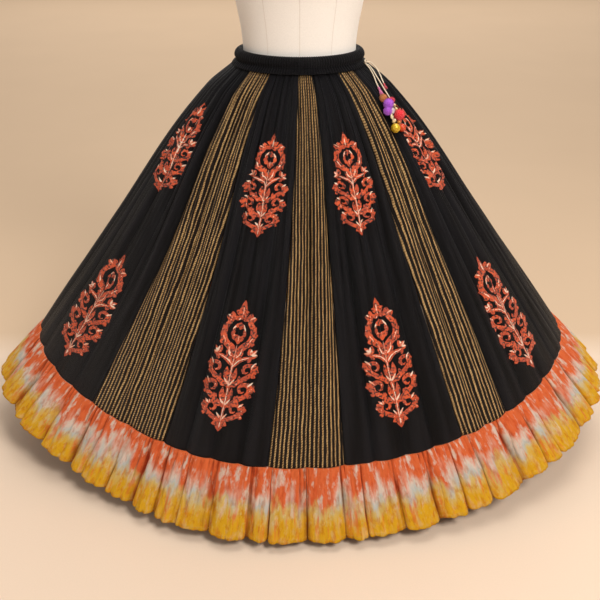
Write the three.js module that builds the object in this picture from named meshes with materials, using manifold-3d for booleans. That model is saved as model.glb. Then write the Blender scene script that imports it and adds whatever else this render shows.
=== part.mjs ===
// Lehenga skirt on a limbless dress form.
// Millimetres, +Z up, front towards -Y, origin on the floor under the middle of the stand.
// Every piece that is cut and sewn is a mesh of its own. Cloth is a wall between two grids of points.
import * as THREE from "three";
import Module from "manifold-3d";
import { mergeVertices } from "three/addons/utils/BufferGeometryUtils.js";

const wasm = await Module();
wasm.setup();

// Driving sizes of the skirt
const SEAM_GAP = 0.3;
const CLOTH = 1.6;
const WAIST_HEIGHT = 990;
const BAND_HEIGHT = 34;
const BODY_TOP_HALF_WIDTH = 151;
const BODY_TOP_HALF_DEPTH = 109;
const BODY_LENGTH = 865;
const SKIRT_LENGTH = 1029;
const SEAM_HALF_WIDTH = 666;
const HEM_HALF_WIDTH = 776;
const DEPTH_TO_WIDTH = 0.7;

// How the outline of the skirt departs from an ellipse: waves round it, cosine and sine shares
const DRAPE = [
  { waves: 1, cosine: 0, sine: 0.024 },
  { waves: 3, cosine: 0, sine: 0.007 },
  { waves: 4, cosine: 0.017, sine: 0 },
  { waves: 5, cosine: 0, sine: -0.016 },
  { waves: 6, cosine: -0.008, sine: 0 },
];

// An even share of the ellipse's girth as a direction seen from its middle, in degrees
const GIRTH_TO_DIRECTION = [
  { waves: 2, degrees: 5.4 },
  { waves: 4, degrees: 0.65 },
];

// Rows down the body: share of its length, how far the gathers push it out, and half the fold depth
const BODY_ROWS = [
  { share: 0, push: 0, fold: 2.4 },
  { share: 0.07, push: 17, fold: 4 },
  { share: 0.2, push: 23, fold: 5 },
  { share: 0.5, push: 11, fold: 5.5 },
  { share: 1, push: 0, fold: 4 },
];

// Striped gores round the skirt: middle and width in degrees of girth, at the band and at the seam
const STRIPE_GORES = [
  { bandMiddle: 5.4, bandWidth: 12.4, seamMiddle: 1.5, seamWidth: 17 },
  { bandMiddle: 46.5, bandWidth: 17, seamMiddle: 44.4, seamWidth: 12.8 },
  { bandMiddle: 104, bandWidth: 12, seamMiddle: 102, seamWidth: 14 },
  { bandMiddle: 142, bandWidth: 12, seamMiddle: 141, seamWidth: 14 },
  { bandMiddle: 180.5, bandWidth: 12, seamMiddle: 180.5, seamWidth: 14 },
  { bandMiddle: 219, bandWidth: 12, seamMiddle: 220, seamWidth: 14 },
  { bandMiddle: 257, bandWidth: 12, seamMiddle: 259, seamWidth: 14 },
  { bandMiddle: 320.6, bandWidth: 22.2, seamMiddle: 314.8, seamWidth: 23.6 },
];
const FOLDS_IN_STRIPE_GORE = 2;
const BLACK_FOLD_WIDTH = 7;

// One fold across: share of its width and lift, from one valley to the next
const BODY_FOLD = [
  { across: 0, lift: -1 },
  { across: 0.24, lift: 0.55 },
  { across: 0.5, lift: 1 },
  { across: 0.76, lift: 0.55 },
];
const FRILL_FOLD = [
  { across: 0, lift: -1 },
  { across: 0.17, lift: 0.6 },
  { across: 0.5, lift: 1 },
  { across: 0.83, lift: 0.7 },
];
const FOLD_UNEVENNESS = 0.3;
const FOLD_BEAT = 2.4;

// Frill: strips joined end to end, folds in each, and half the fold depth down it
const FRILL_STRIPS = 8;
const FOLDS_IN_FRILL_STRIP = 7;
const FRILL_TURN = 1.5;
const FRILL_ROWS = [
  { share: 0, fold: 0.6 },
  { share: 0.4, fold: 5 },
  { share: 1, fold: 8.5 },
];

// Waves round the frill that make its folds wide and narrow: how many, and their size in folds
const FRILL_DRIFT = [
  { waves: 17, folds: 0.13 },
  { waves: 23, folds: 0.08 },
];

// Waistband: one folded strip with elastic inside. Its section stands off the form's waist.
const BAND_GATHERS = 56;
const GATHER_DEPTH = 1.1;
const BAND_SECTION = [
  { out: 0.5, up: 0, gather: 0 },
  { out: 26, up: 0, gather: 0.6 },
  { out: 21.5, up: 7, gather: 1 },
  { out: 16, up: 13, gather: 0.5 },
  { out: 20, up: 20, gather: 1 },
  { out: 17, up: 29, gather: 1 },
  { out: 10, up: 34, gather: 0.7 },
  { out: 3, up: 33.2, gather: 0.3 },
  { out: 0.5, up: 30, gather: 0 },
];

// Dress form from its flat foot to its neck: height, half width, half depth, and how far it leans back
const FORM_SIDES = 36;
const FORM_ROWS = [
  { up: 775, width: 152, depth: 112, back: 4 },
  { up: 802, width: 166, depth: 123, back: 6 },
  { up: 860, width: 158, depth: 115, back: 4 },
  { up: 925, width: 136, depth: 98, back: 1 },
  { up: 956, width: 127, depth: 91, back: 0 },
  { up: 990, width: 127, depth: 91, back: 0 },
  { up: 1030, width: 130, depth: 94, back: -1 },
  { up: 1092, width: 140.5, depth: 103, back: -3 },
  { up: 1150, width: 150, depth: 114, back: -8 },
  { up: 1210, width: 157, depth: 121, back: -10 },
  { up: 1270, width: 163, depth: 114, back: -6 },
  { up: 1325, width: 166, depth: 99, back: 1 },
  { up: 1362, width: 146, depth: 80, back: 7 },
  { up: 1388, width: 100, depth: 65, back: 10 },
  { up: 1408, width: 64, depth: 57, back: 9 },
  { up: 1440, width: 55, depth: 52, back: 7 },
  { up: 1466, width: 54, depth: 51, back: 6 },
];
const BASE_RADIUS = 165;
const COLLAR_HEIGHT = 46;
const POLE_RADIUS = 16;
const ROUND_SIDES = 32;

// Outlines turned about the upright axis: radius and height of each corner
const CAP_OUTLINE = [
  { radius: 0, up: 0 },
  { radius: 47, up: 0 },
  { radius: 50, up: 3 },
  { radius: 50, up: 10 },
  { radius: 44, up: 15 },
  { radius: 36, up: 16 },
  { radius: 0, up: 16 },
];
const BASE_OUTLINE = [
  { radius: 0, up: 0 },
  { radius: BASE_RADIUS - 2, up: 0 },
  { radius: BASE_RADIUS, up: 2 },
  { radius: BASE_RADIUS, up: 8 },
  { radius: BASE_RADIUS - 8, up: 12 },
  { radius: 33, up: 14 },
  { radius: 27, up: 22 },
  { radius: 27, up: COLLAR_HEIGHT - 3 },
  { radius: 24, up: COLLAR_HEIGHT },
  { radius: 0, up: COLLAR_HEIGHT },
];

// Drawstring: an overhand knot below the casing, where its free ends come out
const KNOT = { girth: 76, out: 25.4, up: 10, radius: 2.8, strand: 1.1 };
const KNOT_MESH = { steps: 28, sides: 5, turns: 2, loops: 3 };
const CORD_DIAMETER = 3;
const CORD_SIDES = 8;
const CORD_STEPS = 14;

// Routes of the free ends, from the knot over the cloth to the first tassel or ball
const CORD_ROUTES = {
  outer: [
    [149.4, -32.3, 965.4],
    [152.6, -32.4, 964.6],
    [155.2, -32.3, 964.8],
    [157.7, -32.2, 964.4],
    [160.2, -31.8, 963.2],
    [162.7, -30.9, 961.4],
    [165.1, -29.8, 959.1],
    [167.5, -28.4, 956.6],
    [169.7, -27.2, 953.9],
    [171.7, -26.6, 951.2],
    [174.4, -26.5, 948.0],
    [177.0, -27.4, 944.4],
    [179.4, -30.3, 940.8],
    [181.5, -34.6, 937.0],
    [183.4, -39.4, 933.0],
    [185.2, -44.6, 929.0],
    [186.9, -49.1, 925.8],
    [188.6, -52.9, 922.4],
  ],
  middle: [
    [148.4, -31.6, 960.4],
    [150.6, -31.4, 959.7],
    [153.0, -31.2, 958.8],
    [155.6, -31.2, 957.4],
    [158.0, -32.2, 955.2],
    [160.4, -34.0, 952.8],
    [163.0, -37.2, 949.9],
    [165.8, -40.9, 946.6],
    [168.4, -44.2, 942.8],
    [171.2, -47.5, 938.8],
    [174.6, -51.3, 934.0],
    [178.3, -55.6, 928.9],
    [181.2, -59.6, 924.6],
    [184.2, -63.8, 920.4],
    [187.4, -67.8, 916.0],
    [190.6, -71.6, 911.6],
    [193.8, -75.0, 907.2],
    [197.2, -78.6, 902.4],
    [201.0, -82.4, 897.4],
  ],
  inner: [
    [147.7, -35.4, 962.4],
    [149.2, -36.7, 961.0],
    [150.7, -37.5, 959.4],
    [152.2, -38.2, 957.7],
    [154.2, -39.2, 955.6],
    [156.3, -40.8, 953.4],
    [158.4, -43.0, 950.8],
    [160.5, -45.6, 947.9],
    [162.4, -48.5, 944.9],
    [164.2, -51.7, 941.9],
    [165.8, -55.0, 938.9],
    [167.3, -58.6, 935.7],
    [168.6, -62.2, 932.6],
    [169.9, -65.9, 929.4],
    [171.4, -69.5, 926.3],
    [173.1, -73.0, 923.2],
    [174.8, -76.4, 920.1],
  ],
};

// What hangs on the cords. The first piece goes on from the end of its cord. Each later one hangs
// by its thread from the piece it is under, at a girth and lifted off the cloth.
const HANGING = [
  { name: "tassel_red", kind: "tassel", cord: "outer", size: 9, length: 15 },
  { name: "tassel_pink", kind: "tassel", cord: "inner", size: 10, length: 21.5 },
  { name: "pompom_rust", kind: "ball", cord: "inner", size: 17.6 },
  { name: "pompom_purple_large", kind: "ball", under: "pompom_rust", size: 22.5, girth: 58.2, lift: 3 },
  { name: "pompom_purple_small", kind: "ball", under: "pompom_purple_large", size: 19, girth: 54.4, lift: 6 },
  { name: "pompom_crimson", kind: "ball", cord: "middle", size: 15.3 },
  { name: "bead_cream_upper", kind: "bead", under: "pompom_crimson", size: 8.6, girth: 63.6, lift: 5 },
  { name: "bead_cream_lower", kind: "bead", under: "bead_cream_upper", size: 8.6, girth: 62.8, lift: 6 },
  { name: "pompom_red", kind: "ball", under: "bead_cream_lower", size: 24, girth: 61.3, lift: 3 },
  { name: "bead_orange_link", kind: "bead", under: "pompom_red", size: 8.6, girth: 59.8, lift: 4 },
  { name: "bead_orange", kind: "bead", under: "bead_orange_link", size: 18, girth: 59.2, lift: 1 },
  { name: "pompom_white", kind: "ball", under: "pompom_purple_large", size: 16, girth: 59.0, lift: 0 },
  { name: "bead_ring", kind: "ring", under: "pompom_white", size: 12, girth: 57.0, lift: 3 },
  { name: "bead_shell", kind: "bead", under: "bead_ring", size: 9, girth: 58.4, lift: 0 },
  { name: "bead_gold_link", kind: "bead", under: "bead_ring", size: 8, girth: 56.2, lift: 5 },
  { name: "bead_gold", kind: "bead", under: "bead_gold_link", size: 21, girth: 54.6, lift: 1 },
];
const HANGING_COLORS = {
  tassel_red: 0xd02040,
  tassel_pink: 0xd8709a,
  pompom_rust: 0xb8622a,
  pompom_purple_large: 0xb050d8,
  pompom_purple_small: 0xb050d8,
  pompom_crimson: 0xc01840,
  bead_cream_upper: 0xe8c88c,
  bead_cream_lower: 0xe8c88c,
  pompom_red: 0xe81030,
  bead_orange_link: 0xe09040,
  bead_orange: 0xe04818,
  pompom_white: 0xf4e6ea,
  bead_ring: 0xf0e0b0,
  bead_shell: 0xf0e0b0,
  bead_gold_link: 0xe8c88c,
  bead_gold: 0xc8a020,
};
const WOOL_ROUGHNESS = 0.95;
const BEAD_ROUGHNESS = 0.4;

// How the balls rest: over the fold crests, each with a little thread showing above it
const CREST_CLEARANCE = 7;
const FLARE_RISE = 0.6;
const FACE_GAP = 0.3;
const THREAD_SHOWS = 1.3;
const THREAD_RADIUS = 0.7;
const THREAD_SIDES = 6;
const GIRTH_STEP = 0.5;
const SHARE_STEP = 0.005;
const SEARCH_MARGIN = 0.02;
const SEARCH_STEPS = 40;

// Wool balls and tassels: sizes as shares of the piece, locks as three-sided spikes
const POMPOM_LOCKS = 16;
const POMPOM_CORE = 0.86;
const PARTED_DEGREES = 36;
const LOCK_ROOT = 0.55;
const LOCK_WIDTH = 0.2;
const LOCK_SIDES = 3;
const TASSEL_LOCKS = 9;
const TASSEL_SIDES = 8;
const TASSEL_OUTLINE = [
  { out: 0, along: 0 },
  { out: 0.4, along: 0 },
  { out: 0.56, along: 0.12 },
  { out: 0.4, along: 0.28 },
  { out: 0.6, along: 1 },
  { out: 0, along: 1 },
];
const TASSEL_LOCK = { root: 0.3, rootAlong: 0.25, tipAlong: 0.9, width: 0.2 };

// Beads, and the ring that is threaded flat to the cloth
const BALL_SIDES = 14;
const SMALL_BALL = 10;
const SMALL_BALL_SIDES = 10;
const RING_MIDDLE = 0.7;
const RING_TUBE_SIDES = 8;
const RING_LEAN = 0.3;

// Plain functions of the skirt's shape
const radians = THREE.MathUtils.degToRad;

function pointOn(radius, direction, height) {
  return new THREE.Vector3(radius * Math.sin(direction), -radius * Math.cos(direction), height);
}

function ellipseRadius(halfWidth, halfDepth, direction) {
  return 1 / Math.hypot(Math.sin(direction) / halfWidth, Math.cos(direction) / halfDepth);
}

function directionOf(girthDegrees) {
  const girth = radians(girthDegrees);
  const swing = GIRTH_TO_DIRECTION.map((term) => radians(term.degrees) * Math.sin(term.waves * girth));
  return girth + swing.reduce((sum, part) => sum + part, 0);
}

function skirtRadius(halfWidth, direction) {
  const terms = DRAPE.map(
    ({ waves, cosine, sine }) => cosine * Math.cos(waves * direction) + sine * Math.sin(waves * direction),
  );
  const drape = terms.reduce((sum, part) => sum + part, 1);
  return drape * ellipseRadius(halfWidth, halfWidth * DEPTH_TO_WIDTH, direction);
}

function between(rows, share, column) {
  const next = Math.max(1, rows.findIndex((row) => row.share >= share));
  const [above, below] = [rows[next - 1], rows[next]];
  const mix = (share - above.share) / (below.share - above.share);
  return THREE.MathUtils.lerp(above[column], below[column], mix);
}

// Height of a ring of cloth that hangs a fixed length from the band, so its sides ride up
function hangingHeight(length, radius, bandRadius) {
  return WAIST_HEIGHT - BAND_HEIGHT - Math.sqrt(length ** 2 - (radius - bandRadius) ** 2);
}

// The middle of the cloth at one side of the skirt: radius and height at band, seam and hem
function skirtSide(girthDegrees) {
  const direction = directionOf(girthDegrees);
  const band = ellipseRadius(BODY_TOP_HALF_WIDTH, BODY_TOP_HALF_DEPTH, direction);
  const seam = skirtRadius(SEAM_HALF_WIDTH, direction);
  const hem = skirtRadius(HEM_HALF_WIDTH, direction);
  return {
    direction,
    band,
    seam,
    hem,
    bandHeight: WAIST_HEIGHT - BAND_HEIGHT,
    seamHeight: hangingHeight(BODY_LENGTH, seam, band),
    hemHeight: hangingHeight(SKIRT_LENGTH, hem, band),
  };
}

function bodyPoint(girthDegrees, share, lift) {
  const side = skirtSide(girthDegrees);
  const radius = THREE.MathUtils.lerp(side.band, side.seam, share) + between(BODY_ROWS, share, "push");
  const height = THREE.MathUtils.lerp(side.bandHeight, side.seamHeight, share);
  return pointOn(radius + lift * between(BODY_ROWS, share, "fold"), side.direction, height);
}

// Uneven fold depths, the same each time
function unevenness(foldIndex) {
  return 1 + FOLD_UNEVENNESS * Math.sin(FOLD_BEAT * foldIndex);
}

// Gores in order round the skirt, each with its two edges at the band and at the seam
function goreList() {
  const gores = [];
  STRIPE_GORES.forEach((stripe, index) => {
    const next = STRIPE_GORES[(index + 1) % STRIPE_GORES.length];
    const lap = index + 1 === STRIPE_GORES.length ? 360 : 0;
    const stripeEnd = {
      band: stripe.bandMiddle + stripe.bandWidth / 2,
      seam: stripe.seamMiddle + stripe.seamWidth / 2,
    };
    const nextStart = {
      band: lap + next.bandMiddle - next.bandWidth / 2,
      seam: lap + next.seamMiddle - next.seamWidth / 2,
    };
    const stripeStart = {
      band: stripe.bandMiddle - stripe.bandWidth / 2,
      seam: stripe.seamMiddle - stripe.seamWidth / 2,
    };
    gores.push({ cloth: "stripe", start: stripeStart, end: stripeEnd, folds: FOLDS_IN_STRIPE_GORE });
    const blackFolds = Math.round((nextStart.seam - stripeEnd.seam) / BLACK_FOLD_WIDTH);
    gores.push({ cloth: "black", start: stripeEnd, end: nextStart, folds: blackFolds });
  });
  return gores;
}

// Columns of the body: girth at band and seam, and lift of the fold there
function goreColumns(gore, firstFold) {
  const columns = [];
  for (let fold = 0; fold < gore.folds; fold += 1) {
    for (const { across, lift } of BODY_FOLD) {
      const share = (fold + across) / gore.folds;
      const depth = lift < 0 ? 1 : unevenness(firstFold + fold);
      columns.push({
        band: THREE.MathUtils.lerp(gore.start.band, gore.end.band, share),
        seam: THREE.MathUtils.lerp(gore.start.seam, gore.end.seam, share),
        lift: lift * depth,
      });
    }
  }
  return columns;
}

const GORES = goreList();
const BODY_COLUMNS = [];
let foldsSoFar = 0;
for (const gore of GORES) {
  gore.firstColumn = BODY_COLUMNS.length;
  BODY_COLUMNS.push(...goreColumns(gore, foldsSoFar));
  gore.lastColumn = BODY_COLUMNS.length;
  foldsSoFar += gore.folds;
}

// Lift of the body's folds along the seam, read between its columns
function bodyLiftAtSeam(girthDegrees) {
  const first = BODY_COLUMNS[0].seam;
  const girth = first + THREE.MathUtils.euclideanModulo(girthDegrees - first, 360);
  const found = BODY_COLUMNS.findIndex((column) => column.seam > girth);
  const after = found < 0 ? BODY_COLUMNS.length : found;
  const left = BODY_COLUMNS[after - 1];
  const right = BODY_COLUMNS[after % BODY_COLUMNS.length];
  const rightSeam = after === BODY_COLUMNS.length ? right.seam + 360 : right.seam;
  return THREE.MathUtils.lerp(left.lift, right.lift, (girth - left.seam) / (rightSeam - left.seam));
}

function frillPoint(girthDegrees, share, lift) {
  const side = skirtSide(girthDegrees);
  const bodyFold = BODY_ROWS[BODY_ROWS.length - 1].fold * bodyLiftAtSeam(girthDegrees);
  const folds = (1 - share) * bodyFold + lift * between(FRILL_ROWS, share, "fold");
  const radius = THREE.MathUtils.lerp(side.seam, side.hem, share) + folds;
  return pointOn(radius, side.direction, THREE.MathUtils.lerp(side.seamHeight, side.hemHeight, share));
}

// The inner face of a closed ring of points: each moved in, square to its neighbours in plan
function innerRing(ring) {
  return ring.map((point, index) => {
    const before = ring[(index + ring.length - 1) % ring.length];
    const after = ring[(index + 1) % ring.length];
    const inward = new THREE.Vector3(before.y - after.y, after.x - before.x, 0).normalize();
    return point.clone().addScaledVector(inward, CLOTH);
  });
}

// A step from a point of a ring towards its neighbour that opens half a seam gap along the seam's run
function halfGapStep(point, neighbour, otherNeighbour) {
  const step = neighbour.clone().sub(point);
  const run = neighbour.clone().sub(otherNeighbour).normalize();
  return step.multiplyScalar(SEAM_GAP / 2 / step.dot(run));
}

// Columns first to last of a closed ring, with both ends drawn in by half a seam gap
function ringStretch(ring, first, last) {
  const at = (index) => ring[(index + ring.length) % ring.length];
  const stretch = [];
  for (let index = first; index <= last; index += 1) {
    stretch.push(at(index).clone());
  }
  stretch[0].add(halfGapStep(at(first), at(first + 1), at(first - 1)));
  stretch[stretch.length - 1].add(halfGapStep(at(last), at(last - 1), at(last + 1)));
  return stretch;
}

function meshGeometry(points, triangles) {
  const geometry = new THREE.BufferGeometry();
  const positions = points.flatMap((point) => [point.x, point.y, point.z]);
  geometry.setAttribute("position", new THREE.Float32BufferAttribute(positions, 3));
  geometry.setIndex(triangles);
  geometry.computeVertexNormals();
  return geometry;
}

// A wall from an outer and an inner grid. Rows run down the cloth and columns run round it.
function wallGeometry(outer, inner) {
  const rows = outer.length;
  const columns = outer[0].length;
  const points = [...outer.flat(), ...inner.flat()];
  const out = (row, column) => row * columns + column;
  const inn = (row, column) => (rows + row) * columns + column;
  const triangles = [];
  const quad = (a, b, c, d) => triangles.push(a, b, c, a, c, d);
  for (let row = 0; row + 1 < rows; row += 1) {
    for (let column = 0; column + 1 < columns; column += 1) {
      quad(out(row, column), out(row + 1, column), out(row + 1, column + 1), out(row, column + 1));
      quad(inn(row, column), inn(row, column + 1), inn(row + 1, column + 1), inn(row + 1, column));
    }
    const end = columns - 1;
    quad(inn(row, 0), inn(row + 1, 0), out(row + 1, 0), out(row, 0));
    quad(inn(row, end), out(row, end), out(row + 1, end), inn(row + 1, end));
  }
  for (let column = 0; column + 1 < columns; column += 1) {
    const end = rows - 1;
    quad(out(0, column), out(0, column + 1), inn(0, column + 1), inn(0, column));
    quad(out(end, column), inn(end, column), inn(end, column + 1), out(end, column + 1));
  }
  return meshGeometry(points, triangles);
}

// A ring of equal sections, closed both ways, for the waistband
function ringGeometry(sections) {
  const count = sections[0].length;
  const points = sections.flat();
  const triangles = [];
  sections.forEach((section, index) => {
    const next = (index + 1) % sections.length;
    for (let corner = 0; corner < count; corner += 1) {
      const following = (corner + 1) % count;
      const a = index * count + corner;
      const b = next * count + corner;
      const c = next * count + following;
      const d = index * count + following;
      triangles.push(a, b, c, a, c, d);
    }
  });
  return meshGeometry(points, triangles);
}

// Level rings stacked upwards and closed flat at both ends, for the dress form
function stackGeometry(rings) {
  const count = rings[0].length;
  const points = rings.flat();
  const triangles = [];
  for (let row = 0; row + 1 < rings.length; row += 1) {
    for (let side = 0; side < count; side += 1) {
      const next = (side + 1) % count;
      const a = row * count + side;
      const b = row * count + next;
      triangles.push(a, b, b + count, a, b + count, a + count);
    }
  }
  const top = (rings.length - 1) * count;
  for (let side = 1; side + 1 < count; side += 1) {
    triangles.push(0, side + 1, side);
    triangles.push(top, top + side, top + side + 1);
  }
  return meshGeometry(points, triangles);
}

// Joining with solids
const MERGE_WITHIN = 1e-4;

function toSolid(geometry) {
  const bare = new THREE.BufferGeometry();
  bare.setAttribute("position", geometry.getAttribute("position").clone());
  if (geometry.getIndex()) {
    bare.setIndex(geometry.getIndex().clone());
  }
  const merged = mergeVertices(bare, MERGE_WITHIN);
  return new wasm.Manifold(
    new wasm.Mesh({
      numProp: 3,
      vertProperties: new Float32Array(merged.getAttribute("position").array),
      triVerts: new Uint32Array(merged.getIndex().array),
    }),
  );
}

function fromSolid(solid) {
  const result = solid.getMesh();
  const geometry = new THREE.BufferGeometry();
  geometry.setAttribute("position", new THREE.Float32BufferAttribute(result.vertProperties, 3));
  geometry.setIndex(Array.from(result.triVerts));
  geometry.computeVertexNormals();
  return geometry;
}

// Materials
function finish(color, roughness, metalness = 0) {
  return new THREE.MeshStandardMaterial({ color, roughness, metalness });
}

const blackCotton = finish(0x141316, 0.85);
const stripedCotton = finish(0x5a4226, 0.85);
const frillCotton = finish(0xf08a48, 0.85);
const cordCotton = finish(0xf0dcc0, 0.8);
const formCloth = finish(0xfaecda, 0.9);
const standSteel = finish(0x3a3838, 0.45, 0.8);
const capWood = finish(0xa87848, 0.55);

const part = new THREE.Group();

function place(name, geometry, material) {
  const mesh = new THREE.Mesh(geometry, material);
  mesh.name = name;
  part.add(mesh);
  return mesh;
}

// Body: eight black and eight striped gores
function bodyRing(row) {
  const isTop = row.share === 0;
  const isSeam = row.share === 1;
  const drop = (isTop ? -SEAM_GAP : 0) + (isSeam ? SEAM_GAP / 2 : 0);
  return BODY_COLUMNS.map((column) => {
    const girth = THREE.MathUtils.lerp(column.band, column.seam, row.share);
    const point = bodyPoint(girth, row.share, column.lift);
    point.z += drop;
    return point;
  });
}

function buildBody() {
  const outerRings = BODY_ROWS.map(bodyRing);
  const innerRings = outerRings.map(innerRing);
  const counts = { stripe: 0, black: 0 };
  for (const gore of GORES) {
    counts[gore.cloth] += 1;
    const cut = (ring) => ringStretch(ring, gore.firstColumn, gore.lastColumn);
    const geometry = wallGeometry(outerRings.map(cut), innerRings.map(cut));
    const number = String(counts[gore.cloth]).padStart(2, "0");
    place(`${gore.cloth}_gore_${number}`, geometry, gore.cloth === "black" ? blackCotton : stripedCotton);
  }
}

// Frill: strips of tie-dyed cloth, gathered on to the body's edge
function frillColumns() {
  const folds = FRILL_STRIPS * FOLDS_IN_FRILL_STRIP;
  const columns = [];
  for (let fold = 0; fold < folds; fold += 1) {
    for (const { across, lift } of FRILL_FOLD) {
      const depth = lift < 0 ? 1 : unevenness(fold);
      const turn = (2 * Math.PI * (fold + across)) / folds;
      const drift = FRILL_DRIFT.reduce((sum, part) => sum + part.folds * Math.sin(part.waves * turn), 0);
      columns.push({ girth: FRILL_TURN + (360 * (fold + across + drift)) / folds, lift: lift * depth });
    }
  }
  return columns;
}

function buildFrill() {
  const columns = frillColumns();
  const outerRings = FRILL_ROWS.map((row) =>
    columns.map((column) => {
      const point = frillPoint(column.girth, row.share, column.lift);
      point.z -= row.share === 0 ? SEAM_GAP : 0;
      return point;
    }),
  );
  const innerRings = outerRings.map(innerRing);
  const perStrip = FOLDS_IN_FRILL_STRIP * FRILL_FOLD.length;
  for (let strip = 0; strip < FRILL_STRIPS; strip += 1) {
    const cut = (ring) => ringStretch(ring, strip * perStrip, (strip + 1) * perStrip);
    const geometry = wallGeometry(outerRings.map(cut), innerRings.map(cut));
    place(`frill_strip_${String(strip + 1).padStart(2, "0")}`, geometry, frillCotton);
  }
}

// Waistband round the form's waist
function buildWaistband() {
  const waist = FORM_ROWS.find((row) => row.up === WAIST_HEIGHT);
  const sections = [];
  for (let index = 0; index < 2 * BAND_GATHERS; index += 1) {
    const direction = (Math.PI * index) / BAND_GATHERS;
    const gather = index % 2 === 0 ? GATHER_DEPTH : -GATHER_DEPTH;
    const section = BAND_SECTION.map((corner) => {
      const out = corner.out + corner.gather * gather;
      const radius = ellipseRadius(waist.width + out, waist.depth + out, direction);
      return pointOn(radius, direction, WAIST_HEIGHT - BAND_HEIGHT + corner.up);
    });
    sections.push(section);
  }
  place("waistband", ringGeometry(sections), blackCotton);
}

// Dress form, neck cap, pole and base
function buildForm() {
  const rings = FORM_ROWS.map((row) => {
    const ring = [];
    for (let side = 0; side < FORM_SIDES; side += 1) {
      const angle = (2 * Math.PI * side) / FORM_SIDES;
      const x = row.width * Math.sin(angle);
      const y = row.back - row.depth * Math.cos(angle);
      ring.push(new THREE.Vector3(x, y, row.up));
    }
    return ring;
  });
  place("form_torso", stackGeometry(rings), formCloth);
}

function turned(outline, sides) {
  const profile = outline.map(({ radius, up }) => new THREE.Vector2(radius, up));
  return new THREE.LatheGeometry(profile, sides).rotateX(Math.PI / 2);
}

function buildStand() {
  const neck = FORM_ROWS[FORM_ROWS.length - 1];
  const cap = place("neck_cap", turned(CAP_OUTLINE, ROUND_SIDES), capWood);
  cap.position.set(0, neck.back, neck.up + FACE_GAP);

  const foot = COLLAR_HEIGHT + FACE_GAP;
  const head = FORM_ROWS[0].up - FACE_GAP;
  const shaft = new THREE.CylinderGeometry(POLE_RADIUS, POLE_RADIUS, head - foot, ROUND_SIDES);
  const pole = place("stand_pole", shaft.rotateX(Math.PI / 2), standSteel);
  pole.position.z = (head + foot) / 2;

  place("stand_base", turned(BASE_OUTLINE, ROUND_SIDES), standSteel);
}

// Drawstring and what hangs on it
function alongNormal(normal) {
  return new THREE.Quaternion().setFromUnitVectors(new THREE.Vector3(0, 0, 1), normal);
}

function buildKnot() {
  const waist = FORM_ROWS.find((row) => row.up === WAIST_HEIGHT);
  const direction = directionOf(KNOT.girth);
  const radius = ellipseRadius(waist.width + KNOT.out, waist.depth + KNOT.out, direction);
  const { steps, sides, turns, loops } = KNOT_MESH;
  const knot = new THREE.TorusKnotGeometry(KNOT.radius, KNOT.strand, steps, sides, turns, loops);
  const mesh = place("drawstring_knot", knot, cordCotton);
  mesh.quaternion.copy(alongNormal(pointOn(1, direction, 0).normalize()));
  mesh.position.copy(pointOn(radius, direction, WAIST_HEIGHT - BAND_HEIGHT + KNOT.up));
}

function cordCurve(points) {
  const route = points.map(([x, y, z]) => new THREE.Vector3(x, y, z));
  return new THREE.CatmullRomCurve3(route, false, "centripetal");
}

function buildCords() {
  const section = new THREE.Shape();
  for (let side = 0; side < CORD_SIDES; side += 1) {
    const angle = (2 * Math.PI * side) / CORD_SIDES;
    const x = (CORD_DIAMETER / 2) * Math.cos(angle);
    const y = (CORD_DIAMETER / 2) * Math.sin(angle);
    if (side === 0) {
      section.moveTo(x, y);
    } else {
      section.lineTo(x, y);
    }
  }
  for (const [name, points] of Object.entries(CORD_ROUTES)) {
    const tube = new THREE.ExtrudeGeometry(section, { steps: CORD_STEPS, extrudePath: cordCurve(points) });
    place(`drawstring_${name}`, tube, cordCotton);
  }
}

// A ball's middle where it rests on the cloth, or is lifted off it
function restingMiddle(piece, share) {
  const here = bodyPoint(piece.girth, share, 0);
  const round = bodyPoint(piece.girth + GIRTH_STEP, share, 0).sub(here);
  const down = bodyPoint(piece.girth, share + SHARE_STEP, 0).sub(here);
  const outward = down.cross(round).normalize();
  return here.addScaledVector(outward, piece.size / 2 + CREST_CLEARANCE + piece.lift);
}

// Radius at which a thread or a cord meets a piece: the core of a wool ball, or the whole of a bead
function coreRadius(piece) {
  return (piece.size / 2) * (piece.kind === "ball" ? POMPOM_CORE : 1);
}

// Down the cloth from the piece above until only a little thread shows between the two
function hungUnder(piece, above) {
  const reach = coreRadius(piece) + coreRadius(above) + THREAD_SHOWS;
  let high = above.share;
  let low = above.share + reach / BODY_LENGTH + SEARCH_MARGIN;
  for (let step = 0; step < SEARCH_STEPS; step += 1) {
    const middle = (high + low) / 2;
    if (restingMiddle(piece, middle).distanceTo(above.middle) < reach) {
      high = middle;
    } else {
      low = middle;
    }
  }
  return { share: low, middle: restingMiddle(piece, low) };
}

// Share of the body's length at the foot of a ball on a cord, which stands off the flared cloth
function shareUnder(middle, size) {
  const side = skirtSide(THREE.MathUtils.radToDeg(Math.atan2(middle.x, -middle.y)));
  const foot = middle.z - FLARE_RISE * (size / 2 + CREST_CLEARANCE);
  return (side.bandHeight - foot) / (side.bandHeight - side.seamHeight);
}

function withLocks(core, spots, lockAt) {
  return spots.reduce((solid, spot) => solid.add(lockAt(spot)), core);
}

// A straight spike or rod from one point to another
function rod(from, to, startRadius, endRadius, sides) {
  const axis = to.clone().sub(from);
  const shape = new THREE.CylinderGeometry(endRadius, startRadius, axis.length(), sides);
  shape.rotateX(Math.PI / 2);
  shape.translate(0, 0, axis.length() / 2);
  shape.applyQuaternion(alongNormal(axis.clone().normalize()));
  shape.translate(from.x, from.y, from.z);
  return toSolid(shape);
}

function lock(root, tip, width) {
  return rod(root, tip, width, 0, LOCK_SIDES);
}

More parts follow.
